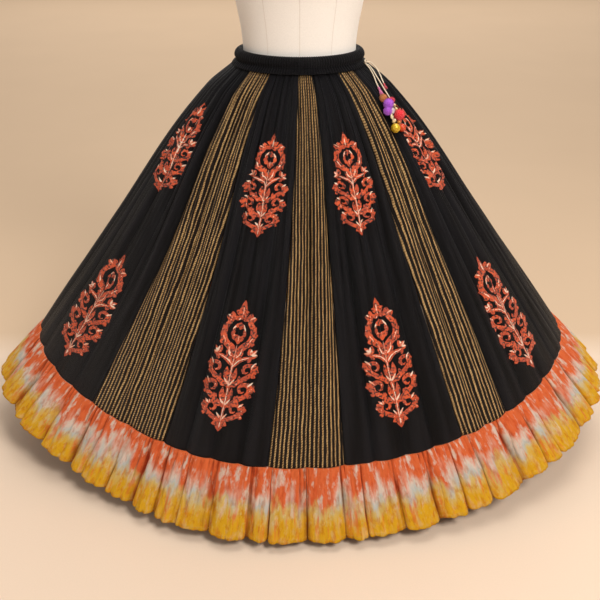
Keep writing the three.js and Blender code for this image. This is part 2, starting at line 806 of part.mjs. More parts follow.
// The thread that carries a piece, up to just short of the piece above, seen from its own middle
function threadUp(piece, above) {
  const up = above.middle.clone().sub(piece.middle);
  const length = up.length() - coreRadius(above) - FACE_GAP;
  const direction = up.normalize();
  const start = direction.clone().multiplyScalar((piece.size / 2) * RING_MIDDLE);
  return rod(start, direction.multiplyScalar(length), THREAD_RADIUS, THREAD_RADIUS, THREAD_SIDES);
}

// Wool ball: a round core with locks spread over it by the golden angle, parted round its threads
function pompomSolid({ size, links }) {
  const radius = size / 2;
  const goldenAngle = Math.PI * (3 - Math.sqrt(5));
  const tips = [];
  for (let index = 0; index < POMPOM_LOCKS; index += 1) {
    const height = 1 - (2 * (index + 0.5)) / POMPOM_LOCKS;
    const level = Math.sqrt(1 - height * height);
    const angle = goldenAngle * index;
    tips.push(new THREE.Vector3(level * Math.cos(angle), level * Math.sin(angle), height));
  }
  const free = tips.filter((tip) => links.every((link) => link.angleTo(tip) > radians(PARTED_DEGREES)));
  const core = toSolid(new THREE.IcosahedronGeometry(radius * POMPOM_CORE, 1));
  return withLocks(core, free, (tip) => {
    const root = tip.clone().multiplyScalar(radius * LOCK_ROOT);
    return lock(root, tip.clone().multiplyScalar(radius), size * LOCK_WIDTH);
  });
}

// Wool tassel along +Z from its tied head to its cut ends
function tasselSolid({ size, length }) {
  const half = size / 2;
  const outline = TASSEL_OUTLINE.map(({ out, along }) => ({ radius: half * out, up: length * along }));
  const core = toSolid(turned(outline, TASSEL_SIDES));
  const angles = Array.from({ length: TASSEL_LOCKS }, (_, index) => (2 * Math.PI * index) / TASSEL_LOCKS);
  return withLocks(core, angles, (angle) => {
    const side = new THREE.Vector3(Math.cos(angle), Math.sin(angle), 0);
    const root = side.clone().multiplyScalar(half * TASSEL_LOCK.root).setZ(length * TASSEL_LOCK.rootAlong);
    const tip = side.clone().multiplyScalar(half).setZ(length * TASSEL_LOCK.tipAlong);
    return lock(root, tip, half * TASSEL_LOCK.width);
  });
}

// A ball, bead or ring about its own middle. A ring lies flat to the cloth.
function hangingSolid(piece) {
  const radius = piece.size / 2;
  if (piece.kind === "ball") {
    return pompomSolid(piece);
  }
  if (piece.kind === "tassel") {
    return tasselSolid(piece);
  }
  if (piece.kind === "ring") {
    const outward = pointOn(1, Math.atan2(piece.middle.x, -piece.middle.y), RING_LEAN).normalize();
    const tube = radius * (1 - RING_MIDDLE);
    const ring = new THREE.TorusGeometry(radius * RING_MIDDLE, tube, RING_TUBE_SIDES, BALL_SIDES);
    return toSolid(ring.applyQuaternion(alongNormal(outward)));
  }
  const sides = piece.size < SMALL_BALL ? SMALL_BALL_SIDES : BALL_SIDES;
  return toSolid(new THREE.SphereGeometry(radius, sides, sides / 2));
}

// The free end of a cord, moved on past each piece that is put there
function cordTip(name) {
  const curve = cordCurve(CORD_ROUTES[name]);
  const direction = curve.getTangentAt(1);
  return { direction, point: curve.getPointAt(1).addScaledVector(direction, FACE_GAP) };
}

// Where each hung piece lies, and the directions in which a cord or a thread leaves it
function settleHanging() {
  const tips = {};
  const settled = {};
  for (const piece of HANGING) {
    const spot = { ...piece, links: [] };
    if (piece.cord) {
      tips[piece.cord] ??= cordTip(piece.cord);
      const { direction, point } = tips[piece.cord];
      const isTassel = piece.kind === "tassel";
      spot.direction = direction;
      spot.middle = isTassel ? point : point.clone().addScaledVector(direction, coreRadius(piece));
      spot.share = shareUnder(spot.middle, piece.size);
      spot.links.push(direction.clone().negate());
      const taken = isTassel ? piece.length : coreRadius(piece);
      tips[piece.cord] = { direction, point: point.clone().addScaledVector(direction, taken + FACE_GAP) };
    } else {
      const above = settled[piece.under];
      Object.assign(spot, hungUnder(piece, above));
      const up = above.middle.clone().sub(spot.middle).normalize();
      spot.links.push(up);
      above.links.push(up.clone().negate());
    }
    settled[piece.name] = spot;
  }
  return settled;
}

function buildHanging() {
  const settled = settleHanging();
  for (const spot of Object.values(settled)) {
    let solid = hangingSolid(spot);
    if (spot.under) {
      solid = solid.add(threadUp(spot, settled[spot.under]));
    }
    const roughness = spot.kind === "bead" ? BEAD_ROUGHNESS : WOOL_ROUGHNESS;
    const mesh = place(spot.name, fromSolid(solid), finish(HANGING_COLORS[spot.name], roughness));
    mesh.position.copy(spot.middle);
    if (spot.kind === "tassel") {
      mesh.quaternion.copy(alongNormal(spot.direction));
    }
  }
}

buildBody();
buildFrill();
buildWaistband();
buildForm();
buildStand();
buildKnot();
buildCords();
buildHanging();

export default part;
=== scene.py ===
"""Lehenga skirt on a dress form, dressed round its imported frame. Metres, +Z up, front towards -Y."""

import math

import bmesh
import bpy
import numpy as np
from bpy.props import FloatProperty, FloatVectorProperty, IntProperty, PointerProperty
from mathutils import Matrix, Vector


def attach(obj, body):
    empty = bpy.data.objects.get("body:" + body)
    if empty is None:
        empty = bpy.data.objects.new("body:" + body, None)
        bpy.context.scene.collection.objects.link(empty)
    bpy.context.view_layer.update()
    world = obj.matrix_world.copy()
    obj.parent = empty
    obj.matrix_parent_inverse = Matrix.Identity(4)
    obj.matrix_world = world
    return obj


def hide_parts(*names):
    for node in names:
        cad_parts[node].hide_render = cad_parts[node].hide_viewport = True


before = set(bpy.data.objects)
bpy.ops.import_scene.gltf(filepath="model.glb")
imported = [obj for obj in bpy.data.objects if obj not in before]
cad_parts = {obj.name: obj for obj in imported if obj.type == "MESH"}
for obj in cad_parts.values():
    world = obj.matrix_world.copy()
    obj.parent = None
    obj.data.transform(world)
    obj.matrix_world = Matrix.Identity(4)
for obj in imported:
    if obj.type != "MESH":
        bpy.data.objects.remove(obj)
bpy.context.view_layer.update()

bl_info = {
    "name": "Lehenga skirt",
    "version": (1, 0, 0),
    "blender": (4, 5, 0),
    "location": "3D View > Sidebar > Lehenga",
    "description": "Builds a gored lehenga skirt with a tie-dyed frill on a dress form",
    "category": "Add Mesh",
}

MILLIMETRE = 0.001
FULL_TURN = 360.0

# Driving sizes of the skirt, as in the frame
WAIST_HEIGHT = 0.990
BAND_HEIGHT = 0.034
BODY_TOP_HEIGHT = WAIST_HEIGHT - BAND_HEIGHT
BODY_TOP_HALF_WIDTH = 0.151
BODY_TOP_HALF_DEPTH = 0.109
BODY_LENGTH = 0.865
SKIRT_LENGTH = 1.029
FRILL_LENGTH = SKIRT_LENGTH - BODY_LENGTH
SEAM_HALF_WIDTH = 0.666
HEM_HALF_WIDTH = 0.776
DEPTH_TO_WIDTH = 0.7
SEAM_GAP = 0.0003

# Waves round the outline: how many, cosine share, sine share
DRAPE = (
    (1, 0, 0.024),
    (3, 0, 0.007),
    (4, 0.017, 0),
    (5, 0, -0.016),
    (6, -0.008, 0),
)
# Waves and degrees that turn an even share of the girth into a direction
GIRTH_TO_DIRECTION = ((2, 5.4), (4, 0.65))

# Down the body: share of its length, outward push and half fold depth in millimetres
BODY_SHARES = (0, 0.07, 0.2, 0.5, 1)
BODY_PUSH = (0, 17, 23, 11, 0)
BODY_FOLD_DEPTH = (2.4, 4, 5, 5.5, 2.6)

# Striped gores: middle and width in degrees of girth at the band, then at the seam
STRIPE_GORES = (
    (5.4, 12.4, 1.5, 17),
    (46.5, 17, 44.4, 12.8),
    (104, 12, 102, 14),
    (142, 12, 141, 14),
    (180.5, 12, 180.5, 14),
    (219, 12, 220, 14),
    (257, 12, 259, 14),
    (320.6, 22.2, 314.8, 23.6),
)
FOLDS_IN_STRIPE_GORE = 2
BLACK_FOLD_WIDTH = 7
# How much wider the cut is than the gathered gore, at the band, lower down and at the seam
BLACK_EASE = (1.9, 1.35, 1.0)
STRIPE_EASE = (2.3, 1.5, 1.0)
EASE_SHARES = (0, 0.3, 1)
# How much wider a whole cut gore is than the finished one, at the seam and at the band
SEAM_CUT_EASE = 1.06
BAND_CUT_EASE = 1.8
GORE_ROWS = 112
GORE_ROW_CROWDING = 1.15
COLUMNS_IN_STRIPE_FOLD = 26
COLUMNS_IN_BLACK_FOLD = 18
BODY_FOLD_ROUNDNESS = 0.674
FRILL_FOLD_ROUNDNESS = 0.5
FOLD_UNEVENNESS = 0.3
FOLD_BEAT = 2.4
FOLD_LEAN_BEAT = 1.9
FRILL_FOLD_LEAN = 0.9

# Soft pleats on top of the folds: waves round the skirt, and their depth in millimetres down the body
PLEAT_SHARES = (0, 0.07, 0.2, 0.5, 0.8, 1)
PLEAT_LAYERS = (
    {"waves": (151, 134, 119), "depth": (1.0, 2.0, 1.8, 1.4, 1.0, 0.4), "wander": 0.9},
    {"waves": (97, 83, 71), "depth": (0.8, 5.2, 6.2, 5.0, 3.4, 1.2), "wander": 1.4},
    {"waves": (37, 29, 23), "depth": (0.0, 0.8, 2.4, 4.2, 4.2, 1.2), "wander": 1.8},
)
PLEAT_ROUNDNESS = 0.8
# How the pleats sway: phase between wave counts, waves down the cloth and round it, and those of the drift
PLEAT_PHASE = 2.1
PLEAT_SWAY_DOWN = 2.3
PLEAT_SWAY_ROUND = 7
PLEAT_DRIFT_ROUND = 5
# Where a motif stiffens the cloth: its reach down and across, in motifs and in folds, and by how much
MOTIF_CALM = {"down": 0.6, "across": 1.2, "most": 0.7}
WIDTH_POINTS = 9
RIDGE_GAIN = 0.8
SEAM_TUCK = 0.0009
SEAM_TUCK_WIDTH = 0.0028

# Frill: strips, folds in each, and half fold depth in millimetres down it
FRILL_STRIPS = 8
FOLDS_IN_FRILL_STRIP = 7
COLUMNS_IN_FRILL_FOLD = 34
FRILL_FOLDS = FRILL_STRIPS * FOLDS_IN_FRILL_STRIP
FRILL_TURN = 1.5
FRILL_SHARES = (0, 0.4, 1)
FRILL_FOLD_DEPTH = (0.6, 5.5, 8.5)
# Waves round the frill that make its folds wide and narrow: how many, and their size in folds
FRILL_DRIFT = ((17, 0.13), (23, 0.08))
FRILL_GATHER_WAVES = (401, 353, 307)
FRILL_GATHER_WANDER = 1.1
FRILL_GATHER_SEED = 4
FRILL_GATHER_SHARES = (0, 0.08, 0.35, 0.7, 1)
FRILL_GATHER_DEPTH = (0.4, 2.4, 1.8, 1.0, 0.6)
FRILL_CREASE_WAVES = (173, 149, 131)
FRILL_CREASE_WANDER = 2.2
FRILL_CREASE_SEED = 6
FRILL_CREASE_ROUNDNESS = 0.55
FRILL_CREASE_DEPTH = (0.1, 2.4, 4.8, 5.4, 4.8)
FRILL_ROWS = 30
# How the dye lies on the strips: its stretch along them, and its shift from strip to strip
FRILL_DYE_STRETCH = 1.1
FRILL_DYE_SHIFT = 0.73

# Waistband section: out from the form's waist, up from the band's foot, share of the gathers
BAND_SECTION = (
    (0.5, 0, 0),
    (26, 0, 0.6),
    (21.5, 7, 1),
    (16, 12.5, 0.5),
    (18.5, 20, 1),
    (16, 29, 1),
    (9, 34, 0.8),
    (3, 33.2, 0.3),
    (0.5, 30, 0),
)
BAND_SECTION_POINTS = 34
BAND_CLEARANCE = 0.45
BAND_RIBS = 126
COLUMNS_IN_RIB = 6
RIB_DEPTH = 2.1
RIB_ROUNDNESS = 0.75
# Waves round the band that crowd its ribs, and their size in radians
RIB_CROWDING = (17, 0.25)
# The ribs' painted sheen, lighter on their crests and darker between them: its middle, and the rise in
# millimetres that takes it one whole step up
RIB_PAINTED_SHEEN = (0.55, 4)
# The top edge ripples with the ribs: share of their depth, and where it starts and its run, in millimetres
BAND_RIPPLE = 0.45
BAND_RIPPLE_START = 24
BAND_RIPPLE_RUN = 10
# The cut of the band's strip: radius of its ring
BAND_RADIUS = 0.145

# Stitches: points of the line, where it runs, then spacing, length and thickness of the stitches
CASING_STITCHES = {"points": 720, "out": 16.9, "up": 0.0132, "sizes": (0.0034, 0.0027, 0.0007)}
HEM_STITCHES = {"points": 2800, "share": 0.955, "off": 0.0002, "sizes": (0.0052, 0.0036, 0.0006)}

# Dress form rows: height, half width, half depth, lean back, in millimetres
FORM_ROWS = (
    (775, 152, 112, 4),
    (802, 166, 123, 6),
    (860, 158, 115, 4),
    (925, 136, 98, 1),
    (956, 127, 91, 0),
    (990, 127, 91, 0),
    (1030, 130, 94, -1),
    (1092, 140.5, 103, -3),
    (1150, 150, 114, -8),
    (1210, 157, 121, -10),
    (1270, 163, 114, -6),
    (1325, 166, 99, 1),
    (1362, 146, 80, 7),
    (1388, 100, 65, 10),
    (1408, 64, 57, 9),
    (1440, 55, 52, 7),
    (1466, 54, 51, 6),
)
FORM_WAIST_ROW = 5
FORM_GRID = (110, 144)
BASE_RADIUS = 0.165
COLLAR_HEIGHT = 0.046
POLE_RADIUS = 0.016
POLE_BEVEL = 0.0008
FACE_GAP = 0.0003

# Turned pieces of the stand: radius and height of each corner, and sides round
CAP_OUTLINE = (
    (0.002, 0),
    (0.047, 0),
    (0.0492, 0.0008),
    (0.05, 0.003),
    (0.05, 0.0095),
    (0.0485, 0.0125),
    (0.044, 0.015),
    (0.036, 0.016),
    (0.002, 0.0162),
)
POLE_OUTLINE = (
    (POLE_RADIUS - POLE_BEVEL, COLLAR_HEIGHT + FACE_GAP),
    (POLE_RADIUS, COLLAR_HEIGHT + 0.001),
    (POLE_RADIUS, 0.7735),
    (POLE_RADIUS - POLE_BEVEL, 0.7747),
)
BASE_OUTLINE = (
    (0.004, 0),
    (BASE_RADIUS - 0.002, 0),
    (BASE_RADIUS, 0.002),
    (BASE_RADIUS, 0.008),
    (BASE_RADIUS - 0.002, 0.0105),
    (BASE_RADIUS - 0.008, 0.012),
    (0.04, 0.0132),
    (0.033, 0.0142),
    (0.0285, 0.0175),
    (0.027, 0.022),
    (0.027, COLLAR_HEIGHT - 0.003),
    (0.0262, COLLAR_HEIGHT - 0.0008),
    (0.024, COLLAR_HEIGHT),
    (0.004, COLLAR_HEIGHT),
)
CAP_SIDES = 96
POLE_SIDES = 64
BASE_SIDES = 128

# Drawstring: the knot, and the routes of its three free ends in millimetres
KNOT = {"girth": 76, "out": 0.0254, "up": 0.010, "radius": 0.0028, "strand": 0.0011}
KNOT_POINTS = 150
KNOT_SIDES = 10
KNOT_PITCH = 0.006
# The knot is a trefoil: it rises and falls three times in two turns
KNOT_LOBES = 1.5
CORD_DIAMETER = 0.003
CORD_SIDES = 15
CORD_PLIES = 3
CORD_PITCH = 0.009
CORD_STEP = 0.0009
CORD_LEAST_POINTS = 60
CORD_MEASURE_POINTS = 400
# Half the depth of the grooves between the plies, as a share of the cord's radius
PLY_DEPTH = 0.1
CORD_ROUTES = {
    "outer": (
        (149.4, -32.3, 965.4),
        (152.6, -32.4, 964.6),
        (155.2, -32.3, 964.8),
        (157.7, -32.2, 964.4),
        (160.2, -31.8, 963.2),
        (162.7, -30.9, 961.4),
        (165.1, -29.8, 959.1),
        (167.5, -28.4, 956.6),
        (169.7, -27.2, 953.9),
        (171.7, -26.6, 951.2),
        (174.4, -26.5, 948.0),
        (177.0, -27.4, 944.4),
        (179.4, -30.3, 940.8),
        (181.5, -34.6, 937.0),
        (183.4, -39.4, 933.0),
        (185.2, -44.6, 929.0),
        (186.9, -49.1, 925.8),
        (188.6, -52.9, 922.4),
    ),
    "middle": (
        (148.4, -31.6, 960.4),
        (150.6, -31.4, 959.7),
        (153.0, -31.2, 958.8),
        (155.6, -31.2, 957.4),
        (158.0, -32.2, 955.2),
        (160.4, -34.0, 952.8),
        (163.0, -37.2, 949.9),
        (165.8, -40.9, 946.6),
        (168.4, -44.2, 942.8),
        (171.2, -47.5, 938.8),
        (174.6, -51.3, 934.0),
        (178.3, -55.6, 928.9),
        (181.2, -59.6, 924.6),
        (184.2, -63.8, 920.4),
        (187.4, -67.8, 916.0),
        (190.6, -71.6, 911.6),
        (193.8, -75.0, 907.2),
        (197.2, -78.6, 902.4),
        (201.0, -82.4, 897.4),
    ),
    "inner": (
        (147.7, -35.4, 962.4),
        (149.2, -36.7, 961.0),
        (150.7, -37.5, 959.4),
        (152.2, -38.2, 957.7),
        (154.2, -39.2, 955.6),
        (156.3, -40.8, 953.4),
        (158.4, -43.0, 950.8),
        (160.5, -45.6, 947.9),
        (162.4, -48.5, 944.9),
        (164.2, -51.7, 941.9),
        (165.8, -55.0, 938.9),
        (167.3, -58.6, 935.7),
        (168.6, -62.2, 932.6),
        (169.9, -65.9, 929.4),
        (171.4, -69.5, 926.3),
        (173.1, -73.0, 923.2),
        (174.8, -76.4, 920.1),
    ),
}
# A direction that no cord and no bead's thread runs along, from which their sides are worked out
CORD_SIDE_HINT = (0.3, 0.5, 0.8)
BEAD_SIDE_HINT = (0.3, 0.9, 0.2)
# Fitting a ball to a node: rounds, and how far out a corner still counts, in diameters
BALL_FIT_ROUNDS = 4
BALL_FIT_REACH = 0.56
ROUTE_POINTS = 40
ROUTE_STEPS = 12

# What hangs on the cords: name, cord or piece that it hangs from, size in millimetres
TASSELS = (("tassel_red", "outer", 9, 15), ("tassel_pink", "inner", 10, 21.5))
WOOL_BALLS = (
    ("pompom_rust", "inner", 17.6),
    ("pompom_purple_large", "pompom_rust", 22.5),
    ("pompom_purple_small", "pompom_purple_large", 19),
    ("pompom_crimson", "middle", 15.3),
    ("pompom_red", "bead_cream_lower", 24),
    ("pompom_white", "pompom_purple_large", 16),
)
BEADS = (
    ("bead_cream_upper", "pompom_crimson", 8.6),
    ("bead_cream_lower", "bead_cream_upper", 8.6),
    ("bead_orange_link", "pompom_red", 8.6),
    ("bead_orange", "bead_orange_link", 18),
    ("bead_shell", "bead_ring", 9),
    ("bead_gold_link", "bead_ring", 8),
    ("bead_gold", "bead_gold_link", 21),
)
BEAD_RING = ("bead_ring", "pompom_white", 12)
THREAD_RADIUS = 0.0007
THREAD_POINTS = 12
THREAD_SIDES = 6

# Wool balls, as shares of the radius: core, length and width of the fibres
WOOL_CORE = 0.84
FIBRE_LENGTH = 0.34
FIBRE_WIDTH = 0.035
LUMP_SIZE = 0.03
# Radians in a metre of the lumps' waves, across and up
LUMP_WAVES = (900, 800)

# Tassels: yarns, radians from one to the next, and shares of the length and of the width along a yarn
YARNS = 40
YARN_TURN = 2.39996
YARN_SHARES = ((0.0, 0.3), (0.12, 0.55), (0.26, 0.34), (0.6, 0.62), (1.0, 0.95))
YARN_POINTS = 9
YARN_SIDES = 4
YARN_RADIUS = 0.055
# The yarn that binds a tassel: points, radians from one to the next, and shares of the length and the size
BINDING = {"points": 28, "turn": 0.7, "start": 0.24, "rise": 0.012, "reach": 0.21, "radius": 0.04, "sides": 5}

# Beads: sides, rows, the hole and the level of its floor in radii, its inner width as a share of the hole
BEAD_SIDES = 32
BEAD_ROWS = 25
BEAD_HOLE = 0.17
BEAD_HOLE_INNER = 0.9
BEAD_HOLE_LEVEL = 0.86
# The shell bead's groove: depth as a share of the radius, width in radians
SHELL_GROOVE = (0.12, 0.3)
# The ring: wire and middle line as shares of its radius, its tilt, points and sides
RING = {"wire": 0.3, "line": 0.7, "tilt": 0.3, "points": 48, "sides": 16}

# Where the motifs sit. Body shares of the top and foot tips of the upper and lower one, on the gores in
# the middle and at the sides, and then each gore's shares across at the same tips.
MIDDLE_HEIGHTS = ((0.14, 0.405), (0.57, 0.925))
SIDE_HEIGHTS = ((0.105, 0.38), (0.58, 0.95))
MOTIF_PLACES = {
    "black_gore_01": (MIDDLE_HEIGHTS, ((0.47, 0.46), (0.48, 0.51))),
    "black_gore_02": (SIDE_HEIGHTS, ((0.35, 0.32), (0.29, 0.3))),
    "black_gore_07": (SIDE_HEIGHTS, ((0.56, 0.61), (0.65, 0.63))),
    "black_gore_08": (MIDDLE_HEIGHTS, ((0.57, 0.53), (0.53, 0.51))),
}
MOTIFS_BEHIND = (MIDDLE_HEIGHTS, ((0.5, 0.5), (0.5, 0.5)))
MOTIF_STRETCH = 0.9

# Camera: where the photograph was taken from
CAMERA_PLACE = (0, -1.9369, 1.4005)
CAMERA_PITCH = 0.501
CAMERA_SHIFT = 0.5 / 600


def shade(web_color):
    """Linear colour of a web colour"""
    shares = [int(web_color[at : at + 2], 16) / 255 for at in (0, 2, 4)]
    return tuple(x / 12.92 if x <= 0.04045 else ((x + 0.055) / 1.055) ** 2.4 for x in shares)


def color_prop(name, description, web_color):
    return FloatVectorProperty(
        name=name,
        description=description,
        subtype="COLOR",
        size=3,
        min=0,
        max=1,
        default=shade(web_color),
    )


def length_prop(name, description, default):
    return FloatProperty(
        name=name,
        description=description,
        subtype="DISTANCE",
        unit="LENGTH",
        min=0,
        precision=5,
        default=default,
    )


class LEHENGA_PG_cloth(bpy.types.PropertyGroup):
    """Cotton of the body and the band"""

    black: color_prop("Black", "Dye of the plain cotton", "060507")
    # Painted sheen on the crests of the pleats and ribs, and also the colour of paler random patches
    painted_sheen_and_patches: color_prop("Bloom", "Where the black cotton catches the light", "1b1a1e")
    gold: color_prop("Gold", "Printed lines of the striped cotton", "dcb47a")
    tan: color_prop("Tan", "Darker flecks in the printed lines", "5c3a18")
    brown: color_prop("Brown", "Faint lines between the gold ones", "38230f")
    thickness: length_prop("Thickness", "Thickness of the cotton", 0.0007)
    stripe_pitch: length_prop("Stripe pitch", "From one gold line to the next on the cut cloth", 0.0099)
    pleats: FloatProperty(name="Pleats", description="Depth of the soft pleats", min=0, max=2, default=1)


class LEHENGA_PG_frill(bpy.types.PropertyGroup):
    """Tie-dyed frill"""

    coral: color_prop("Coral", "Dye next to the seam", "ff7a42")
    blush: color_prop("Blush", "Pale streaks in the coral", "ffe6d4")
    mist: color_prop("Mist", "Undyed and blue-grey patches half way down", "dfdfd8")
    straw: color_prop("Straw", "Where the yellow dye fades out", "f6d27c")
    yellow: color_prop("Yellow", "Dye at the hem", "ffc020")
    gathers: FloatProperty(name="Gathers", description="Depth of the gathers", min=0, max=2, default=1)


class LEHENGA_PG_motif(bpy.types.PropertyGroup):
    """Leaf motifs of the black gores"""

    orange: color_prop("Orange", "Main thread", "dc5522")
    brick: color_prop("Brick", "Shaded thread", "b8431f")
    cream: color_prop("Cream", "Stems and tips", "f2dcc6")
    pink: color_prop("Pink", "Blushed tips", "f2a07c")
    height: length_prop("Height", "How far the work stands off the cotton", 0.0009)


class LEHENGA_PG_trim(bpy.types.PropertyGroup):
    """Drawstring, wool balls, tassels and beads"""

    cord: color_prop("Cord", "Twisted cotton cord", "efdcc0")
    fibres: IntProperty(name="Fibres", description="Wool fibres on a ball", min=50, max=900, default=520)
    seed: IntProperty(name="Seed", description="Which way the fibres fall", min=0, default=3)


class LEHENGA_PG_form(bpy.types.PropertyGroup):
    """Dress form and stand"""

    cloth: color_prop("Cloth", "Cover of the form", "fff8f0")
    wood: color_prop("Wood", "Neck cap", "a87848")
    steel: color_prop("Steel", "Paint of the pole and the base", "3a3838")


class LEHENGA_PG_stage(bpy.types.PropertyGroup):
    """Floor, light and camera"""

    floor: color_prop("Floor", "Floor round the form", "eed6bf")
    backdrop: color_prop("Backdrop", "Floor further off", "dcc0a2")
    light: FloatProperty(name="Light", description="Strength of all lamps", min=0, max=4, default=1)
    glow: FloatProperty(name="Glow", description="Strength of the even light", min=0, max=2, default=0.26)
    lens: FloatProperty(name="Lens", description="Focal length in millimetres", min=20, max=120, default=50.4)


WOOL_COLORS = {
    "pompom_rust": "cf7c30",
    "pompom_purple_large": "c45ae8",
    "pompom_purple_small": "bc50e0",
    "pompom_crimson": "dc1844",
    "pompom_red": "f8142e",
    "pompom_white": "f4e4ea",
    "tassel_red": "c8203c",
    "tassel_pink": "d8649a",
}
BEAD_COLORS = {
    "bead_cream_upper": "e8c88c",
    "bead_cream_lower": "e8c88c",
    "bead_orange_link": "e09040",
    "bead_orange": "e04818",
    "bead_ring": "f0e0b0",
    "bead_shell": "f0dfae",
    "bead_gold_link": "e8c88c",
    "bead_gold": "eec22c",
}
WOOL_SLOTS = {
    "pompom_rust": "rust_wool",
    "pompom_purple_large": "purple_wool",
    "pompom_purple_small": "purple_wool",
    "pompom_crimson": "crimson_wool",
    "pompom_red": "red_wool",
    "pompom_white": "white_wool",
    "tassel_red": "red_wool",
    "tassel_pink": "pink_wool",
}
BEAD_SLOTS = {"bead_orange": "orange_bead", "bead_gold": "gold_bead"}


# The skirt's surface


def eased(value, shares, rows):
    """A smooth curve through a short table that never overshoots it"""
    xs = np.array(shares, float)
    ys = np.array(rows, float)
    steps = np.diff(xs)
    slopes = np.diff(ys) / steps
    tangents = np.zeros(len(xs))
    tangents[0], tangents[-1] = slopes[0], slopes[-1]
    for at in range(1, len(xs) - 1):
        if slopes[at - 1] * slopes[at] > 0:
            tangents[at] = 2 * slopes[at - 1] * slopes[at] / (slopes[at - 1] + slopes[at])
    value = np.clip(value, xs[0], xs[-1])
    cell = np.clip(np.searchsorted(xs, value) - 1, 0, len(steps) - 1)
    t = (value - xs[cell]) / steps[cell]
    start = ys[cell] * (1 + 2 * t) * (1 - t) ** 2 + tangents[cell] * steps[cell] * t * (1 - t) ** 2
    end = ys[cell + 1] * t**2 * (3 - 2 * t) + tangents[cell + 1] * steps[cell] * t**2 * (t - 1)
    return start + end


def blend(a, b, share):
    return a + (b - a) * share


def direction_of(girth):
    angle = np.radians(girth)
    return angle + sum(math.radians(degrees) * np.sin(waves * angle) for waves, degrees in GIRTH_TO_DIRECTION)


def ellipse_radius(half_width, half_depth, direction):
    return 1 / np.hypot(np.sin(direction) / half_width, np.cos(direction) / half_depth)


def waist_radius(off, direction):
    """Radius some millimetres out from the form's waist"""
    _, half_width, half_depth, _ = FORM_ROWS[FORM_WAIST_ROW]
    return ellipse_radius(half_width + off, half_depth + off, direction) * MILLIMETRE


def skirt_radius(half_width, direction):
    drape = 1 + sum(c * np.cos(n * direction) + s * np.sin(n * direction) for n, c, s in DRAPE)
    return drape * ellipse_radius(half_width, half_width * DEPTH_TO_WIDTH, direction)


def hanging_height(length, radius, band_radius):
    return BODY_TOP_HEIGHT - np.sqrt(length**2 - (radius - band_radius) ** 2)


def points_on(radius, direction, height):
    return np.stack([radius * np.sin(direction), -radius * np.cos(direction), height + 0 * radius], axis=-1)


def skirt_side(girth):
    """Direction, then radius at the band, the seam and the hem"""
    direction = direction_of(girth)
    band = ellipse_radius(BODY_TOP_HALF_WIDTH, BODY_TOP_HALF_DEPTH, direction)
    seam = skirt_radius(SEAM_HALF_WIDTH, direction)
    hem = skirt_radius(HEM_HALF_WIDTH, direction)
    return direction, band, seam, hem


def body_point(girth, share, lift):
    direction, band, seam, _ = skirt_side(girth)
    push = eased(share, BODY_SHARES, BODY_PUSH) * MILLIMETRE
    radius = blend(band, seam, share) + push + lift
    height = blend(BODY_TOP_HEIGHT, hanging_height(BODY_LENGTH, seam, band), share)
    return points_on(radius, direction, height)


def fold_wave(across, roundness, first_fold, lean=0.0):
    """Lift of folds side by side: valleys of one depth, crests of uneven height that lean either way"""
    number = np.floor(across)
    crest = 1 + FOLD_UNEVENNESS * np.sin(FOLD_BEAT * (first_fold + number))
    within = (across - number) ** (2 ** (lean * np.sin(FOLD_LEAN_BEAT * number)))
    return (1 + crest) * np.abs(np.sin(math.pi * within)) ** roundness - 1


def ridges(girth, share, waves, wander, seed, roundness=PLEAT_ROUNDNESS):
    """Rows of soft ridges with sharper valleys, a few close wave counts beating against each other"""
    angle = np.radians(girth)
    total = 0
    for order, count in enumerate(waves):
        phase = seed + PLEAT_PHASE * order
        sway = np.sin((PLEAT_SWAY_DOWN + order) * share + (PLEAT_SWAY_ROUND + order) * angle + phase)
        drift = wander * (sway + np.sin((PLEAT_DRIFT_ROUND + order) * angle + phase))
        total = total + 2 * np.abs(np.sin((count * angle + drift) / 2 + phase)) ** roundness - 1
    return total / len(waves)


